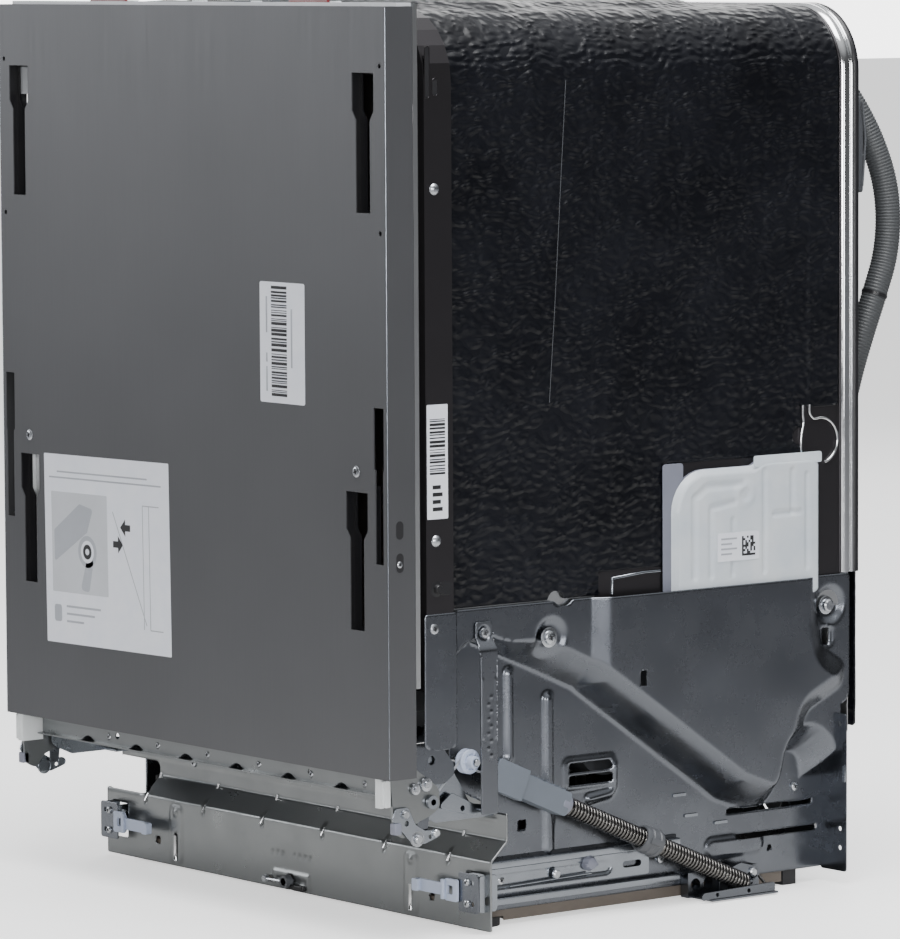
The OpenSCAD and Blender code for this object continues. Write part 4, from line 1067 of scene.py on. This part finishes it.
def on_line(points):
    """From (x, height off the line, distance up the line) to the layout."""
    p = np.array(points, float)
    dy, dz = SPRING_DIR
    return np.stack([SPRING_X + p[:, 0], ANCHOR[0] + dz * p[:, 1] + dy * p[:, 2],
                     ANCHOR[1] - dy * p[:, 1] + dz * p[:, 2]], 1)


def lay_on_line(piece):
    piece.points = [on_line(p) for p in piece.points]
    return piece


turns = (SPRING_ENDS[1] - SPRING_ENDS[0]) / SPRING_PITCH
coil_angle = np.linspace(0, turns * 2 * math.pi, int(turns * 16))
coil_s = np.linspace(*SPRING_ENDS, len(coil_angle))
coil_r = 7.5 * np.clip(np.minimum(coil_s - SPRING_ENDS[0], SPRING_ENDS[1] - coil_s) / 5 + 0.5, 0.5, 1)
spring = Piece()
tube(spring, on_line(np.stack([coil_r * np.cos(coil_angle), coil_r * np.sin(coil_angle), coil_s], 1)), WIRE_R,
     SPRING_WIRE, 8)
for side, half in (("right", spring), ("left", spring.mirrored())):
    coil = half.build(f"door_spring_{side}", None, "spring_wire", ["door_springs"], 80)
    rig.blend(coil, "cabinet", "tensioners", *to_row(on_line([(0, 0, SPRING_ENDS[0]), (0, 0, SPRING_ENDS[1])])))


def coupler(p):
    lathe(p, [(9.9, 125), (12.2, 125.4), (13.2, 127), (13.2, 130), (12.2, 131), (12.0, 135), (13.0, 136),
              (13.0, 138.5), (12.0, 139.5), (12.2, 144), (11.4, 146), (9.9, 146)], (0, 0, 0), "z", GREY_PLASTIC, 32)
    for x in (-1, 1):
        block(p, (x * 12 - 2, x * 12 + 2), (-3, 3), (129, 142), GREY_PLASTIC)
    lay_on_line(p)


both(coupler, "spring_coupler", "couplers", "grey_plastic", "spring_couplers", angle=40)


def tensioner(p):
    """Channel with its side walls, end block and adjusting teeth."""
    for side in (-1, 1):
        plate(p, rounded([(-11, 244, 3), (11, 244, 3), (11, 300, 2), (7, 306, 3), (-7, 306, 3), (-11, 300, 2)]),
              "x", side * 8.4 - 0.9, side * 8.4 + 0.9, CHANNEL_PLASTIC,
              [box_loop(-5, 268, 5, 296, 2)] if side < 0 else ())
    block(p, (-8.6, 8.6), (-11, -9), (246, 302), CHANNEL_PLASTIC)
    block(p, (-8.6, 8.6), (9, 11), (246, 302), CHANNEL_PLASTIC)
    lathe(p, [(4, 240), (9.4, 240), (9.8, 241), (9.8, 250), (8, 252), (4, 252)], (0, 0, 0), "z", LILAC_PLASTIC, 28)
    for k in range(6):
        block(p, (-7.5, 7.5), (11, 12), (252 + 7 * k, 255 + 7 * k), CHANNEL_PLASTIC)
    lathe(p, [(0, 312), (2.2, 312), (2.6, 310), (2.6, 300), (0, 300)], (0, 0, 0), "z", SCREW_ZINC, 16)
    lay_on_line(p)


both(tensioner, "spring_tensioner", "tensioners", "grey_plastic", "spring_tensioners", angle=40)


def rollers(p):
    centre = (0, *ROLLER)
    lathe(p, [(3.2, 279), (10.4, 279), (11, 279.6), (11, 280.6), (8.2, 282.2), (7.8, 283.4), (8.2, 284.6),
              (11, 286.2), (11, 287.2), (10.4, 288), (7.4, 288.2), (6.8, 287.2), (5.8, 287.2), (5.6, 294),
              (4.9, 295), (3.2, 295)],
          centre, "x", PALE_CLIP, 40)
    for k in range(6):
        a = k * math.pi / 3
        tube(p, [(288.2, ROLLER[0] + 5.4 * math.cos(a), ROLLER[1] + 5.4 * math.sin(a)),
                 (288.0, ROLLER[0] + 9.4 * math.cos(a), ROLLER[1] + 9.4 * math.sin(a))], 0.8, PALE_CLIP, 6)


both(rollers, "rope_roller", "rollers", "light_plastic", "rope_rollers", angle=35)

ROPE_R = 1.1
rope_end = on_line([(0, 0, 310)])[0]
rope_low = Piece()
tube(rope_low, [rope_end, (SPRING_X, ROLLER[0] + 5, ROLLER[1] - 7.6)], ROPE_R, PALE_INK, 8)
rope_up = Piece()
tube(rope_up, [(SPRING_X, ROLLER[0] - 7.5, ROLLER[1] + 2), (SPRING_X, 66, 132)], ROPE_R, PALE_INK, 8)
for side in ("right", "left"):
    low, up = (rope_low, rope_up) if side == "right" else (rope_low.mirrored(), rope_up.mirrored())
    sign = 1 if side == "right" else -1
    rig.blend(low.build(f"door_rope_low_{side}", None, "light_plastic"), "cabinet", "tensioners",
             *to_row([(sign * SPRING_X, ROLLER[0] + 5, ROLLER[1] - 7.6), sign * rope_end * (1, sign, sign)]))
    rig.blend(up.build(f"door_rope_up_{side}", None, "light_plastic"), "cabinet", "door",
             *to_row([(sign * SPRING_X, ROLLER[0] - 7.5, ROLLER[1] + 2), (sign * SPRING_X, 66, 132)]))


# ---- Guard strap, hinge bracket and levers ----

STRAP_Y = 112


def strap_x(y, z):
    x = 289.8 + 7.4 * ease((266 - z) / 14)
    x -= 1.2 * rise(sd_circle(y, z, (STRAP_Y, 268), 7.5), 2)
    for k in range(9):
        x += 0.45 * rise(sd_circle(y, z, (STRAP_Y + 2 - 3 * (k % 2), 212 - 6.5 * k), 2), 1.4)
    for column in (-7, 7):
        x += 0.5 * rise(sd_line(y, z, [(STRAP_Y + column, 228), (STRAP_Y + column, 176)], 1.4), 1)
    return x


def guard(p):
    shape = rounded([(STRAP_Y - 9, 108, 2), (STRAP_Y + 9, 108, 2), (STRAP_Y + 9, 160, 6), (STRAP_Y + 9.5, 256, 2),
                     (STRAP_Y + 9, 278, 2), (STRAP_Y - 9, 278, 2), (STRAP_Y - 9.5, 256, 2), (STRAP_Y - 9, 160, 6)])
    pressed(p, (STRAP_Y - 11, STRAP_Y + 11), (107, 279), 0.9, lambda y, z: sd_polygon(y, z, shape), strap_x, "x",
            STRAP_STEEL)


both(guard, "guard_strap", "cabinet", "galvanized", angle=50, thickness=1.5)


def guard_fittings(p):
    screw(p, (289.4, STRAP_Y, 268), 5.2, 3.2)
    plate(p, box_loop(262.4, STRAP_Y - 6, 296.6, STRAP_Y + 9, 2), "z", 111, 112.6, STRAP_STEEL)
    lathe(p, [(0, 2.2), (2.8, 2.2), (3.4, 1.2), (3.4, 0)], (295.8, *ROLLER), "x", SCREW_ZINC, 20)


both(guard_fittings, "guard_fittings", "cabinet", "galvanized", "guard_bracket_{}", angle=35)


def rope_sleeve(p):
    """Fixed half sleeve that the spring's channel slides into."""
    plate(p, rounded([(-14, 300, 1), (14, 300, 1), (14, 338, 3), (-14, 338, 3)]), "x", 10.6, 12.2,
          CHANNEL_PLASTIC)
    for side in (-1, 1):
        block(p, (2, 12), (side * 13.7 - 0.6, side * 13.7 + 0.6), (300, 336), CHANNEL_PLASTIC, 0.3, 0.4)
    lay_on_line(p)


both(rope_sleeve, "rope_sleeve", "cabinet", "grey_plastic", angle=40)


def boss(p, at, r, h):
    lathe(p, [(0, h), (r * 0.45, h), (r * 0.5, h * 0.6), (r * 0.92, h * 0.55), (r, h * 0.2), (r, 0)],
          (289.6, *at), "x", SCREW_ZINC, 28)


def hinge_plates(p):
    """Pivot boss and folded lower arm of a hinge bracket."""
    boss(p, (52.5, 124), 6.2, 3.4)
    plate(p, rounded([(36, 176, 4), (36, 150, 5), (52, 138, 5), (70, 138, 6), (82, 146, 5), (80, 156, 4),
                      (64, 176, 6)]), "x", 284.6, 286, GALVANIZED, [circle((56, 160), 4)])
    plate(p, rounded([(60, 118, 3), (98, 108, 3), (128, 106, 2), (128, 113, 2), (100, 118, 3), (76, 130, 4)]), "x",
          287.9, 288.9, BRIGHT_ZINC, [circle((88, 115), 2.4), circle((112, 110), 1.8)])


both(hinge_plates, "hinge_bracket_details", "cabinet", "galvanized", angle=35)


def levers(p):
    """The links under the door's corner that carry its load to the springs."""
    plate(p, rounded([(8, 112, 3), (20, 100, 4), (30, 90, 5), (44, 88, 4), (60, 93, 3), (62, 99, 3), (44, 100, 4),
                      (34, 106, 4), (26, 122, 4), (12, 122, 3)]), "x", 289.8, 291.2, BRIGHT_ZINC,
          [circle((24, 108), 2.4), circle((50, 94), 1.8)])
    plate(p, rounded([(28, 132, 4), (40, 112, 3), (40, 97, 3), (50, 97, 3), (52, 112, 4), (62, 128, 4),
                      (52, 134, 4)]), "x", 286.2, 287.4, GALVANIZED)
    boss(p, (34, 137), 5.2, 4)
    boss(p, (46, 140), 6.4, 4)
    block(p, (286, 294), (9, 17), (99, 109), LILAC_PLASTIC, 0.8, 1.5)
    lathe(p, [(0, 4), (3, 4), (4.4, 3), (4.6, 0.4), (7, 0.2), (7, -1.6)], (291, 36, 93), "x", SCREW_ZINC, 24)
    lathe(p, [(0, 3), (2.6, 3), (3.6, 2), (3.8, -1.6)], (291, 56, 96.5), "x", SCREW_ZINC, 20)
    lathe(p, [(0, 3.4), (3, 3.4), (4, 2), (4.2, -2)], (290.6, 22, 116), "x", SCREW_ZINC, 20)
    plate(p, rounded([(3, 123, 1), (9, 123, 1), (9, 147, 1), (3, 147, 1)]), "x", 275.5, 288, WHITE_PLASTIC)
    for x in (278, 283):
        block(p, (x, x + 3), (1.8, 3.6), (125, 146), WHITE_PLASTIC)


both(levers, "hinge_levers", "door", "galvanized", angle=35)


# ---- Plinth ----

PLINTH_LINE = [(113, 2, 0), (113, 65, 2.5), (131, 82, 2.5), (131, 126, 0)]
plinth_at, plinth_length = profile_map(PLINTH_LINE, 5)
FOLD = 63                                     # distance up the sheet to its first fold
SLOPE_END = FOLD + math.hypot(18, 17)
GUSSETS = [-232 + 93.5 * k for k in range(6)]  # x of the gussets pressed across the folds


def plinth_edge(x, s):
    d = sd_box(x, s, (-HALF + 1.4, 0.4), (HALF - 1.4, plinth_length - 0.4), 1.5)
    holes = [sd_box(x, s, (-300, FOLD + 1), (-233, SLOPE_END + 13), 6), sd_circle(x, s, (0, 9), 6.6),
             sd_box(x, s, (-40, 5), (-30, 10), 2)]
    for m in (x, -x):
        holes += [sd_circle(m, s, (212, 22), 4), sd_box(m, s, (180, 6), (184, 32), 1.6),
                  sd_box(m, s, (262, 18), (288, 51), 2), sd_box(m, s, (260, SLOPE_END + 24), (300, 200), 2)]
    for hole in holes:
        d = np.maximum(d, -hole)
    return d


def plinth_rise(x, s):
    h = 0.3 * WAVES.at(x / 60, s / 40)
    for gusset in GUSSETS:
        h -= 1.6 * rise(sd_line(x, s, [(gusset, FOLD - 7), (gusset, FOLD + 6)], 2.6), 2)
    for m in (x, -x):
        h += 1.3 * rise(sd_circle(m, s, (182, 51), 4), 2)
        h += 1.1 * rise(sd_box(m, s, (170, 1), (194, 60), 8), 4)
    frame_d = sd_box(x, s, (-29, 1), (31, 19), 3)
    h += 1.5 * rise(frame_d, 3) - 1.3 * rise(frame_d + 6, 3)
    h += 0.9 * rise(sd_line(x, s, [(-280, 105), (280, 105)], 3), 2.5)
    for k in range(7):
        h -= 0.9 * rise(sd_box(x, s, (-30 + 8 * k + 10 * (k > 2), 31), (-26 + 8 * k + 10 * (k > 2), 36), 1), 1)
    return -h


def plinth_place(u, v, h):
    y, z = plinth_at(v, h)
    return np.stack([u, y, z], 1)


plinth = Piece()
pressed(plinth, (-298, 298), (0, plinth_length), 1.9, plinth_edge, plinth_rise, plinth_place, PLINTH_STEEL)
plinth.build("plinth_pressed", "cabinet", "plinth_steel", ["plinth_panel"], 50, 1.2)

adjuster = Piece()
lathe(adjuster, [(0, 104), (4, 104), (5.6, 104.8), (5.6, 111), (3.2, 112), (3.2, 300)], (0, 0, 11), "y",
      BLACK_PLASTIC, 6)
adjuster.build("adjuster_hex", "adjuster", "grey_plastic", angle=30)
plinth_bits = Piece()
block(plinth_bits, (-8, 24), (108, 113), (4, 9), BLACK_PLASTIC, 0.8, 1.5)
lathe(plinth_bits, [(0, 107), (3, 107), (3.6, 108), (3.6, 112)], (-35, 0, 9.5), "y", SCREW_ZINC, 6)
tube(plinth_bits, [(-35, 109, 9.5), (-6, 108, 10.5)], 1.4, SCREW_ZINC, 8)
for x in GUSSETS:
    for at, away in (((112.4, 59), (115.6, 66)), ((129.6, 78), (130.6, 85))):
        tube(plinth_bits, [(x, *at), (x + 1.5, *away)], 1.3, POLISHED, 8)
for x in (-182, 182):
    block(plinth_bits, (x - 1.8, x + 1.8), (110.5, 112.4), (8, 32), POLISHED, 0.4, 1)
for x in (-176, 176):
    screw(plinth_bits, (x, 130.6, 100), 4, 2.4, axis="y", direction=-1)
plinth_bits.build("plinth_fittings", "cabinet", "galvanized", angle=35)


# ---- Slides beside the plinth ----

def runner(p):
    block(p, (262.2, 263.4), (135, 356), (20, 62), GALVANIZED, 0.4, 0.5)
    for z in (22.5, 55.5):
        plate(p, rounded([(262.4, z - 3, 1), (269, z - 3, 1), (269, z + 3.5, 1),
                          (262.4, z + 3.5, 1)]), "y", 135, 356,
              BRIGHT_ZINC)
    for y in (150, 336):
        screw(p, (263.4, y, 41), 4.2, 2.6)


both(runner, "plinth_runner", "cabinet", "galvanized", "plinth_runners", angle=35)


def slide(p):
    """Rail beside the plinth with its end plate and the plastic clip in front."""
    bar = rounded([(103, 30, 1), (320, 30, 2), (320, 52, 2), (103, 52, 1)])
    pressed(p, (102, 321), (29, 53), 1.5, lambda y, z: np.maximum(
        sd_polygon(y, z, bar), -sd_line(y, z, [(292, 41), (308, 41)], 3)),
        lambda y, z: 267 - 1.6 * rise(sd_line(y, z, [(116, 41), (270, 41)], 7), 2.5),
        "x", BRIGHT_ZINC)
    plate(p, rounded([(264, 19, 2), (292, 19, 3), (292, 54, 3), (264, 54, 2)], 5), "y", 102, 103.6, GALVANIZED,
          [circle((284, 27), 2.2), circle((284, 46), 2.2)])
    plate(p, rounded([(104, 20, 2), (124, 20, 4), (124, 53, 4), (104, 53, 2)], 5), "x", 290.6, 292, BRIGHT_ZINC,
          [box_loop(110, 26, 118, 34, 2)])
    strap = rounded([(206, 31, 2), (246, 31, 2), (250, 27, 2), (266, 27, 2), (266, 47, 2), (250, 47, 2),
                     (246, 42, 2),
                     (206, 42, 2)], 4)
    plate(p, strap, "y", 98.6, 101.4, PALE_CLIP, [box_loop(252, 33, 260, 41, 1.5)])
    plate(p, box_loop(206, 31, 214, 42, 1.5), "y", 94.5, 98.8, PALE_CLIP)
    block(p, (246, 250), (95.5, 98.8), (28, 46), PALE_CLIP, 0.6, 1)
    for z in (27, 46):
        screw(p, (277, 102, z), 3.6, 2.4, axis="y", direction=-1)


both(slide, "plinth_slide_detail", "slide_{}", "light_plastic", "plinth_slide_{}", angle=35)


def clip_screw(p):
    """Bolt and spring clip that ends the slide's rail."""
    lathe(p, [(0, 3), (3, 3), (4, 2), (4.2, 0)], (268, 210, 41), "x", SCREW_ZINC, 18)
    tube(p, [(269.4, 156, 36), (269.4, 200, 37), (269.4, 250, 38)], 0.9, BRIGHT_ZINC, 8)
    lathe(p, [(3, 0), (7, 0.4), (7, 4), (5, 8), (2, 9), (0, 9)], (265, 249, 47), "x", LILAC_PLASTIC, 24)
    block(p, (265, 273), (242, 256), (44, 47), LILAC_PLASTIC, 0.6, 1)


both(clip_screw, "runner_clip", "cabinet", "light_plastic", angle=35)


def anchor_fittings(p):
    """Hook plate, rivets and bolt where the spring is anchored."""
    plate(p, rounded([(398, 4, 3), (446, 4, 3), (446, 24, 6), (424, 30, 8), (398, 22, 4)]), "x", 273.4, 274.8,
          GALVANIZED, [circle((436, 14), 3)])
    plate(p, rounded([(362, 3, 2), (450, 3, 2), (450, 12, 3), (362, 10, 3)]), "x", 291.5, 293, GALVANIZED,
          [circle((380, 7), 1.8), circle((418, 7), 1.8)])
    for y in (404, 438):
        lathe(p, [(0, 3), (3, 3), (4.2, 2), (4.4, 0)], (274.8, y, 20), "x", SCREW_ZINC, 18)
    tube(p, [(SPRING_X, 434, 8), (SPRING_X, 440, 7), (SPRING_X + 2, 444, 10), (SPRING_X - 6, 444, 16)], 1.6,
         SPRING_WIRE)


both(anchor_fittings, "spring_anchor_details", "cabinet", "galvanized", angle=35)


# ---- Door ----

def obround(y, z0, z1, r, steps=8):
    corner = r * 0.99
    return rounded([(y - r, z0, corner), (y + r, z0, corner), (y + r, z1, corner), (y - r, z1, corner)], steps)


def door_edge_details(p):
    for z0, z1 in ((358, 374), (329, 346)):
        plate(p, obround(13, z0 - 0.8, z1 + 0.8, 4.8), "x", 297.9, 298.12, DOOR_PAINT, bevel=0.08)
        # Painted shade: the slot is a black plate standing for the dark inside of the hole.
        plate(p, obround(13, z0, z1, 4.0), "x", 298.0, 298.2, INK_AND_SHADE, bevel=0.03)
    screw(p, (297.6, 13, 336), 3.0, 1.2)
    # Painted highlight: a thin bright zinc strip along the door's front corner stands in for the light that the
    # painted edge catches.
    tube(p, [(297.7, 0.3, 149), (297.7, 0.3, 817)], 0.55, BRIGHT_ZINC, 8)


both(door_edge_details, "door_edge_details", "door", "door_paint", angle=35)

bars = np.random.default_rng(3)


def bar_code(piece, x, y, z, top, widths, gaps):
    while z < top:
        width = bars.choice(widths)
        block(piece, x, y, (z, z + width), INK_AND_SHADE, 0.02, 0.03)
        z += width + bars.choice(gaps)


door_label = Piece()
plate(door_label, box_loop(114, 468, 180, 575, 2), "y", -0.35, -0.05, PAPER, bevel=0.05)
bar_code(door_label, (131, 154), (-0.5, -0.34), 474.0, 570, [0.7, 1.1, 1.8, 2.6], [0.8, 1.2, 2.0])
for x, z0, z1 in ((123, 478, 500), (123, 504, 512), (123, 530, 562), (160, 500, 552)):
    block(door_label, (x, x + 2.2), (-0.48, -0.34), (z0, z1), PALE_INK, 0.02, 0.03)
door_label.build("door_bar_label", "door", "light_plastic")

NOTICE_TILT = 0.9                            # degrees that the notice was stuck on askew
notice = Piece()


def tilted(points):
    a = math.radians(NOTICE_TILT)
    return [(-128 + (x + 128) * math.cos(a) - (z - 312) * math.sin(a),
             312 + (x + 128) * math.sin(a) + (z - 312) * math.cos(a)) for x, z in points]


def print_on(piece, outline, material, level=1):
    plate(piece, tilted(outline), "y", -0.36 - 0.07 * level, -0.3, material, bevel=0.015)


plate(notice, tilted(box_loop(-229, 224, -28, 401, 1)), "y", -0.35, -0.05, PAPER, bevel=0.05)
for x0, x1, z in ((-208, -62, 384), (-221, -40, 378.5)):
    print_on(notice, box_loop(x0, z, x1, z + 1.5), PALE_INK)
print_on(notice, box_loop(-218, 272, -127, 366, 1), plastic("label_grey", (0.52, 0.54, 0.58), 0.45))
for shape, level in ((rounded([(-214, 300, 2), (-160, 330, 2), (-150, 352, 3), (-172, 356, 3), (-214, 330, 2)]), 2),
                     (circle((-160, 312), 15, 32), 2), (rounded([(-172, 276, 4), (-158, 274, 4), (-150, 304, 4),
                                                                 (-160, 308, 3)]), 2)):
    print_on(notice, shape, PALE_INK, level)
print_on(notice, circle((-160, 312), 10.5, 28), PAPER, 3)
print_on(notice, circle((-160, 312), 7.0, 24), INK_AND_SHADE, 4)
print_on(notice, circle((-160, 312), 3.0, 16), PAPER, 5)
for x, z, flip in ((-112, 322, 1), (-96, 338, -1)):
    print_on(notice, [(x - 6, z - 3), (x + 2, z - 3), (x + 2, z - 8), (x + 10, z), (x + 2, z + 8), (x + 2, z + 3),
                      (x - 6, z + 3)] if flip > 0 else
             [(x + 6, z + 3), (x - 2, z + 3), (x - 2, z + 8), (x - 10, z), (x - 2, z - 8), (x - 2, z - 3),
              (x + 6, z - 3)], INK_AND_SHADE)
for low, high in (((-118, 352), (-66, 250)), ((-70, 360), (-70, 246)), ((-60, 360), (-60, 246)),
                  ((-70, 360), (-44, 360)), ((-60, 246), (-40, 246))):
    d = np.subtract(high, low) / math.dist(low, high)
    n = np.array([-d[1], d[0]]) * 0.5
    print_on(notice, [np.subtract(low, n), np.subtract(high, n), np.add(high, n), np.add(low, n)], PALE_INK)
for row, (x0, x1) in enumerate(((-196, -140), (-196, -150), (-196, -168))):
    print_on(notice, box_loop(x0, 258 - 7 * row, x1, 260 - 7 * row), PALE_INK)
print_on(notice, rounded([(-216, 244, 3), (-204, 244, 3), (-204, 260, 3), (-216, 260, 3)]), PALE_INK)
notice.build("door_notice", "door", "light_plastic")

skin_bits = Piece()
for sx in (-1, 1):
    screw(skin_bits, (sx * 254, -0.2, 415), 5.2, 1.6, axis="y", direction=-1)
skin_bits.build("door_face_screws", "door", "galvanized", ["door_screws"], 35)

rail = Piece()
for k in range(6):
    x = -198 + 79 * k
    lathe(rail, [(0, 5.5), (4, 5), (8, 3), (11, 0.6), (12, 0)], (x, 30, 129.5), "z", GALVANIZED, 28)
    screw(rail, (x + 34, 25.2, 136), 3.4, 2, axis="y", direction=-1)
rail.build("door_rail_details", "door", "galvanized", angle=40)

console = Piece()
for x in (-112, -4, 86, 196):
    block(console, (x - 9, x + 9), (19, 25), (820.8, 822.2), CONSOLE, 0.5, 1.5)
console.build("console_ribs", "door", "white_plastic", angle=35)


# ---- Front frame ----

def frame_details(p):
    for y, z0, z1, r in ((46.5, 739, 783, 2.0), (55, 741, 755, 2.6)):
        # Painted shade: each slot is a black plate standing for the dark inside of the hole, ringed by a steel rim.
        plate(p, obround(y, z0, z1, r), "x", 296.9, 297.12, INK_AND_SHADE, bevel=0.03)
        tube(p, [(297, a, b) for a, b in obround(y, z0 - 0.6, z1 + 0.6, r + 0.5)], 0.45, FRAME_STEEL, 6, True)
    for z in (660, 354):
        lathe(p, [(0, 2.6), (2.2, 2.4), (4, 1.5), (5, 0.4), (5.2, 0)], (296.9, 54, z), "x", SCREW_ZINC, 28)
    lathe(p, [(0, 5), (3, 5), (3.8, 4), (4.2, 1.2), (7, 0.8), (7.2, 0)], (296.2, 54.5, 312),
          "x", BLACK_PLASTIC, 24)
    plate(p, box_loop(57, 306, 70, 318, 3), "x", 296.8, 297.5, BLACK_PLASTIC)
    screw(p, (296.4, 50.4, 277), 5, 3.2)


both(frame_details, "front_frame_details", "cabinet", "frame_steel", angle=35)

strip_label = Piece()
plate(strip_label, box_loop(44, 373, 67, 473, 1), "x", 297.0, 297.22, PAPER, bevel=0.04)
bar_code(strip_label, (297.2, 297.3), (47, 64), 412.0, 462, [0.7, 1.1, 1.8, 2.4], [0.8, 1.1, 1.7])
for k in range(4):
    block(strip_label, (297.2, 297.3), (50, 61 - 2 * (k % 2)), (380 + 6.4 * k, 383.4 + 6.4 * k), INK_AND_SHADE, 0.02, 0.03)
strip_label.build("frame_bar_label", "cabinet", "light_plastic")


# ---- CAD nodes that stay ----

KEPT = {
    DOOR_PAINT: ["door_outer_panel"],
    STAINLESS: ["door_inner_panel", "tub_wrap", "tub_floor", "tub_back", "rack_rails"],
    FRAME_STEEL: ["front_frame"],
    POLISHED: ["sump_filter"],
    PLINTH_STEEL: ["door_bottom_rail", "hinge_arm_right", "hinge_arm_left"],
    BRIGHT_ZINC: ["hinge_bracket_right", "hinge_bracket_left"],
    GALVANIZED: ["base_back_panel", "spring_anchors"],
    # Painted shade: the hook plates behind the door's slots are coloured black so that the slots read dark.
    BLACK_PLASTIC: ["hook_plates"],
    SCREW_ZINC: ["chassis_screws"],
    CONSOLE: ["door_console", "detergent_dispenser", "inlet_valve"],
    WHITE_PLASTIC: ["hinge_covers", "dispenser_lid"],
    PALE_CLIP: ["rinse_aid_cap"],
    GREY_PLASTIC: ["power_button", "program_button", "start_button", "hose_clips", "cutlery_basket",
                   "lower_spray_arm", "upper_spray_arm", "wash_pump", "foot_adjuster"],
    RED_PLASTIC: ["console_tabs"],
    DARK_RUBBER: ["door_seal", "foot_front_right", "foot_front_left", "foot_rear", "rear_skids"],
    TRAY_PLASTIC: ["base_tray"],
    RACK_COATING: ["upper_rack", "lower_rack"],
    FELT: ["door_insulation"],
}
for material, names in KEPT.items():
    for name in names:
        finish_node(name, material, 0 if "rack" in name and name != "rack_rails" else 0.4)


# ---- Floor, room and sizes ----

def make_floor():
    mesh = bpy.data.meshes.new("floor")
    size = 30                                # half its width, in metres
    mesh.from_pydata([(-size, -size, 0), (size, -size, 0), (size, size, 0), (-size, size, 0)], [], [(0, 1, 2, 3)])
    mesh.materials.append(floor_material())
    floor = bpy.data.objects.new("floor", mesh)
    bpy.context.scene.collection.objects.link(floor)
    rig.stage(floor)


make_floor()
WORLD_LEVELS = ((0.0, 0.30), (0.48, 0.16), (0.53, 0.07), (0.66, 0.12), (0.82, 0.7), (1.0, 1.0))
BACKDROP = 4.5


def make_world():
    """A dim room that brightens overhead, with a pale backdrop where the camera looks straight at it."""
    world = bpy.data.worlds.new("studio")
    world.use_nodes = True
    nodes, link = world.node_tree.nodes, world.node_tree.links.new
    split = nodes.new("ShaderNodeSeparateXYZ")
    ramp = nodes.new("ShaderNodeValToRGB")
    half = nodes.new("ShaderNodeMapRange")
    seen = nodes.new("ShaderNodeMixRGB")
    half.inputs[1].default_value = -1
    link(nodes.new("ShaderNodeTexCoord").outputs["Generated"], split.inputs[0])
    link(split.outputs["Z"], half.inputs[0])
    link(half.outputs[0], ramp.inputs[0])
    while len(ramp.color_ramp.elements) < len(WORLD_LEVELS):
        ramp.color_ramp.elements.new(0.5)
    for element, (place, level) in zip(ramp.color_ramp.elements, WORLD_LEVELS):
        element.position = place
        element.color = (level * 0.97, level * 0.985, level, 1)
    link(nodes.new("ShaderNodeLightPath").outputs["Is Camera Ray"], seen.inputs[0])
    link(ramp.outputs[0], seen.inputs[1])
    seen.inputs[2].default_value = (BACKDROP, BACKDROP, BACKDROP, 1)
    link(seen.outputs[0], nodes["Background"].inputs["Color"])
    bpy.context.scene.world = world


make_world()

with open("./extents.json", "w") as f:
    json.dump({name: [[round(float(c), 5) for c in corner] for corner in box]
               for name, box in (("cad", cad_bounds), ("visual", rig.bounds()))}, f)
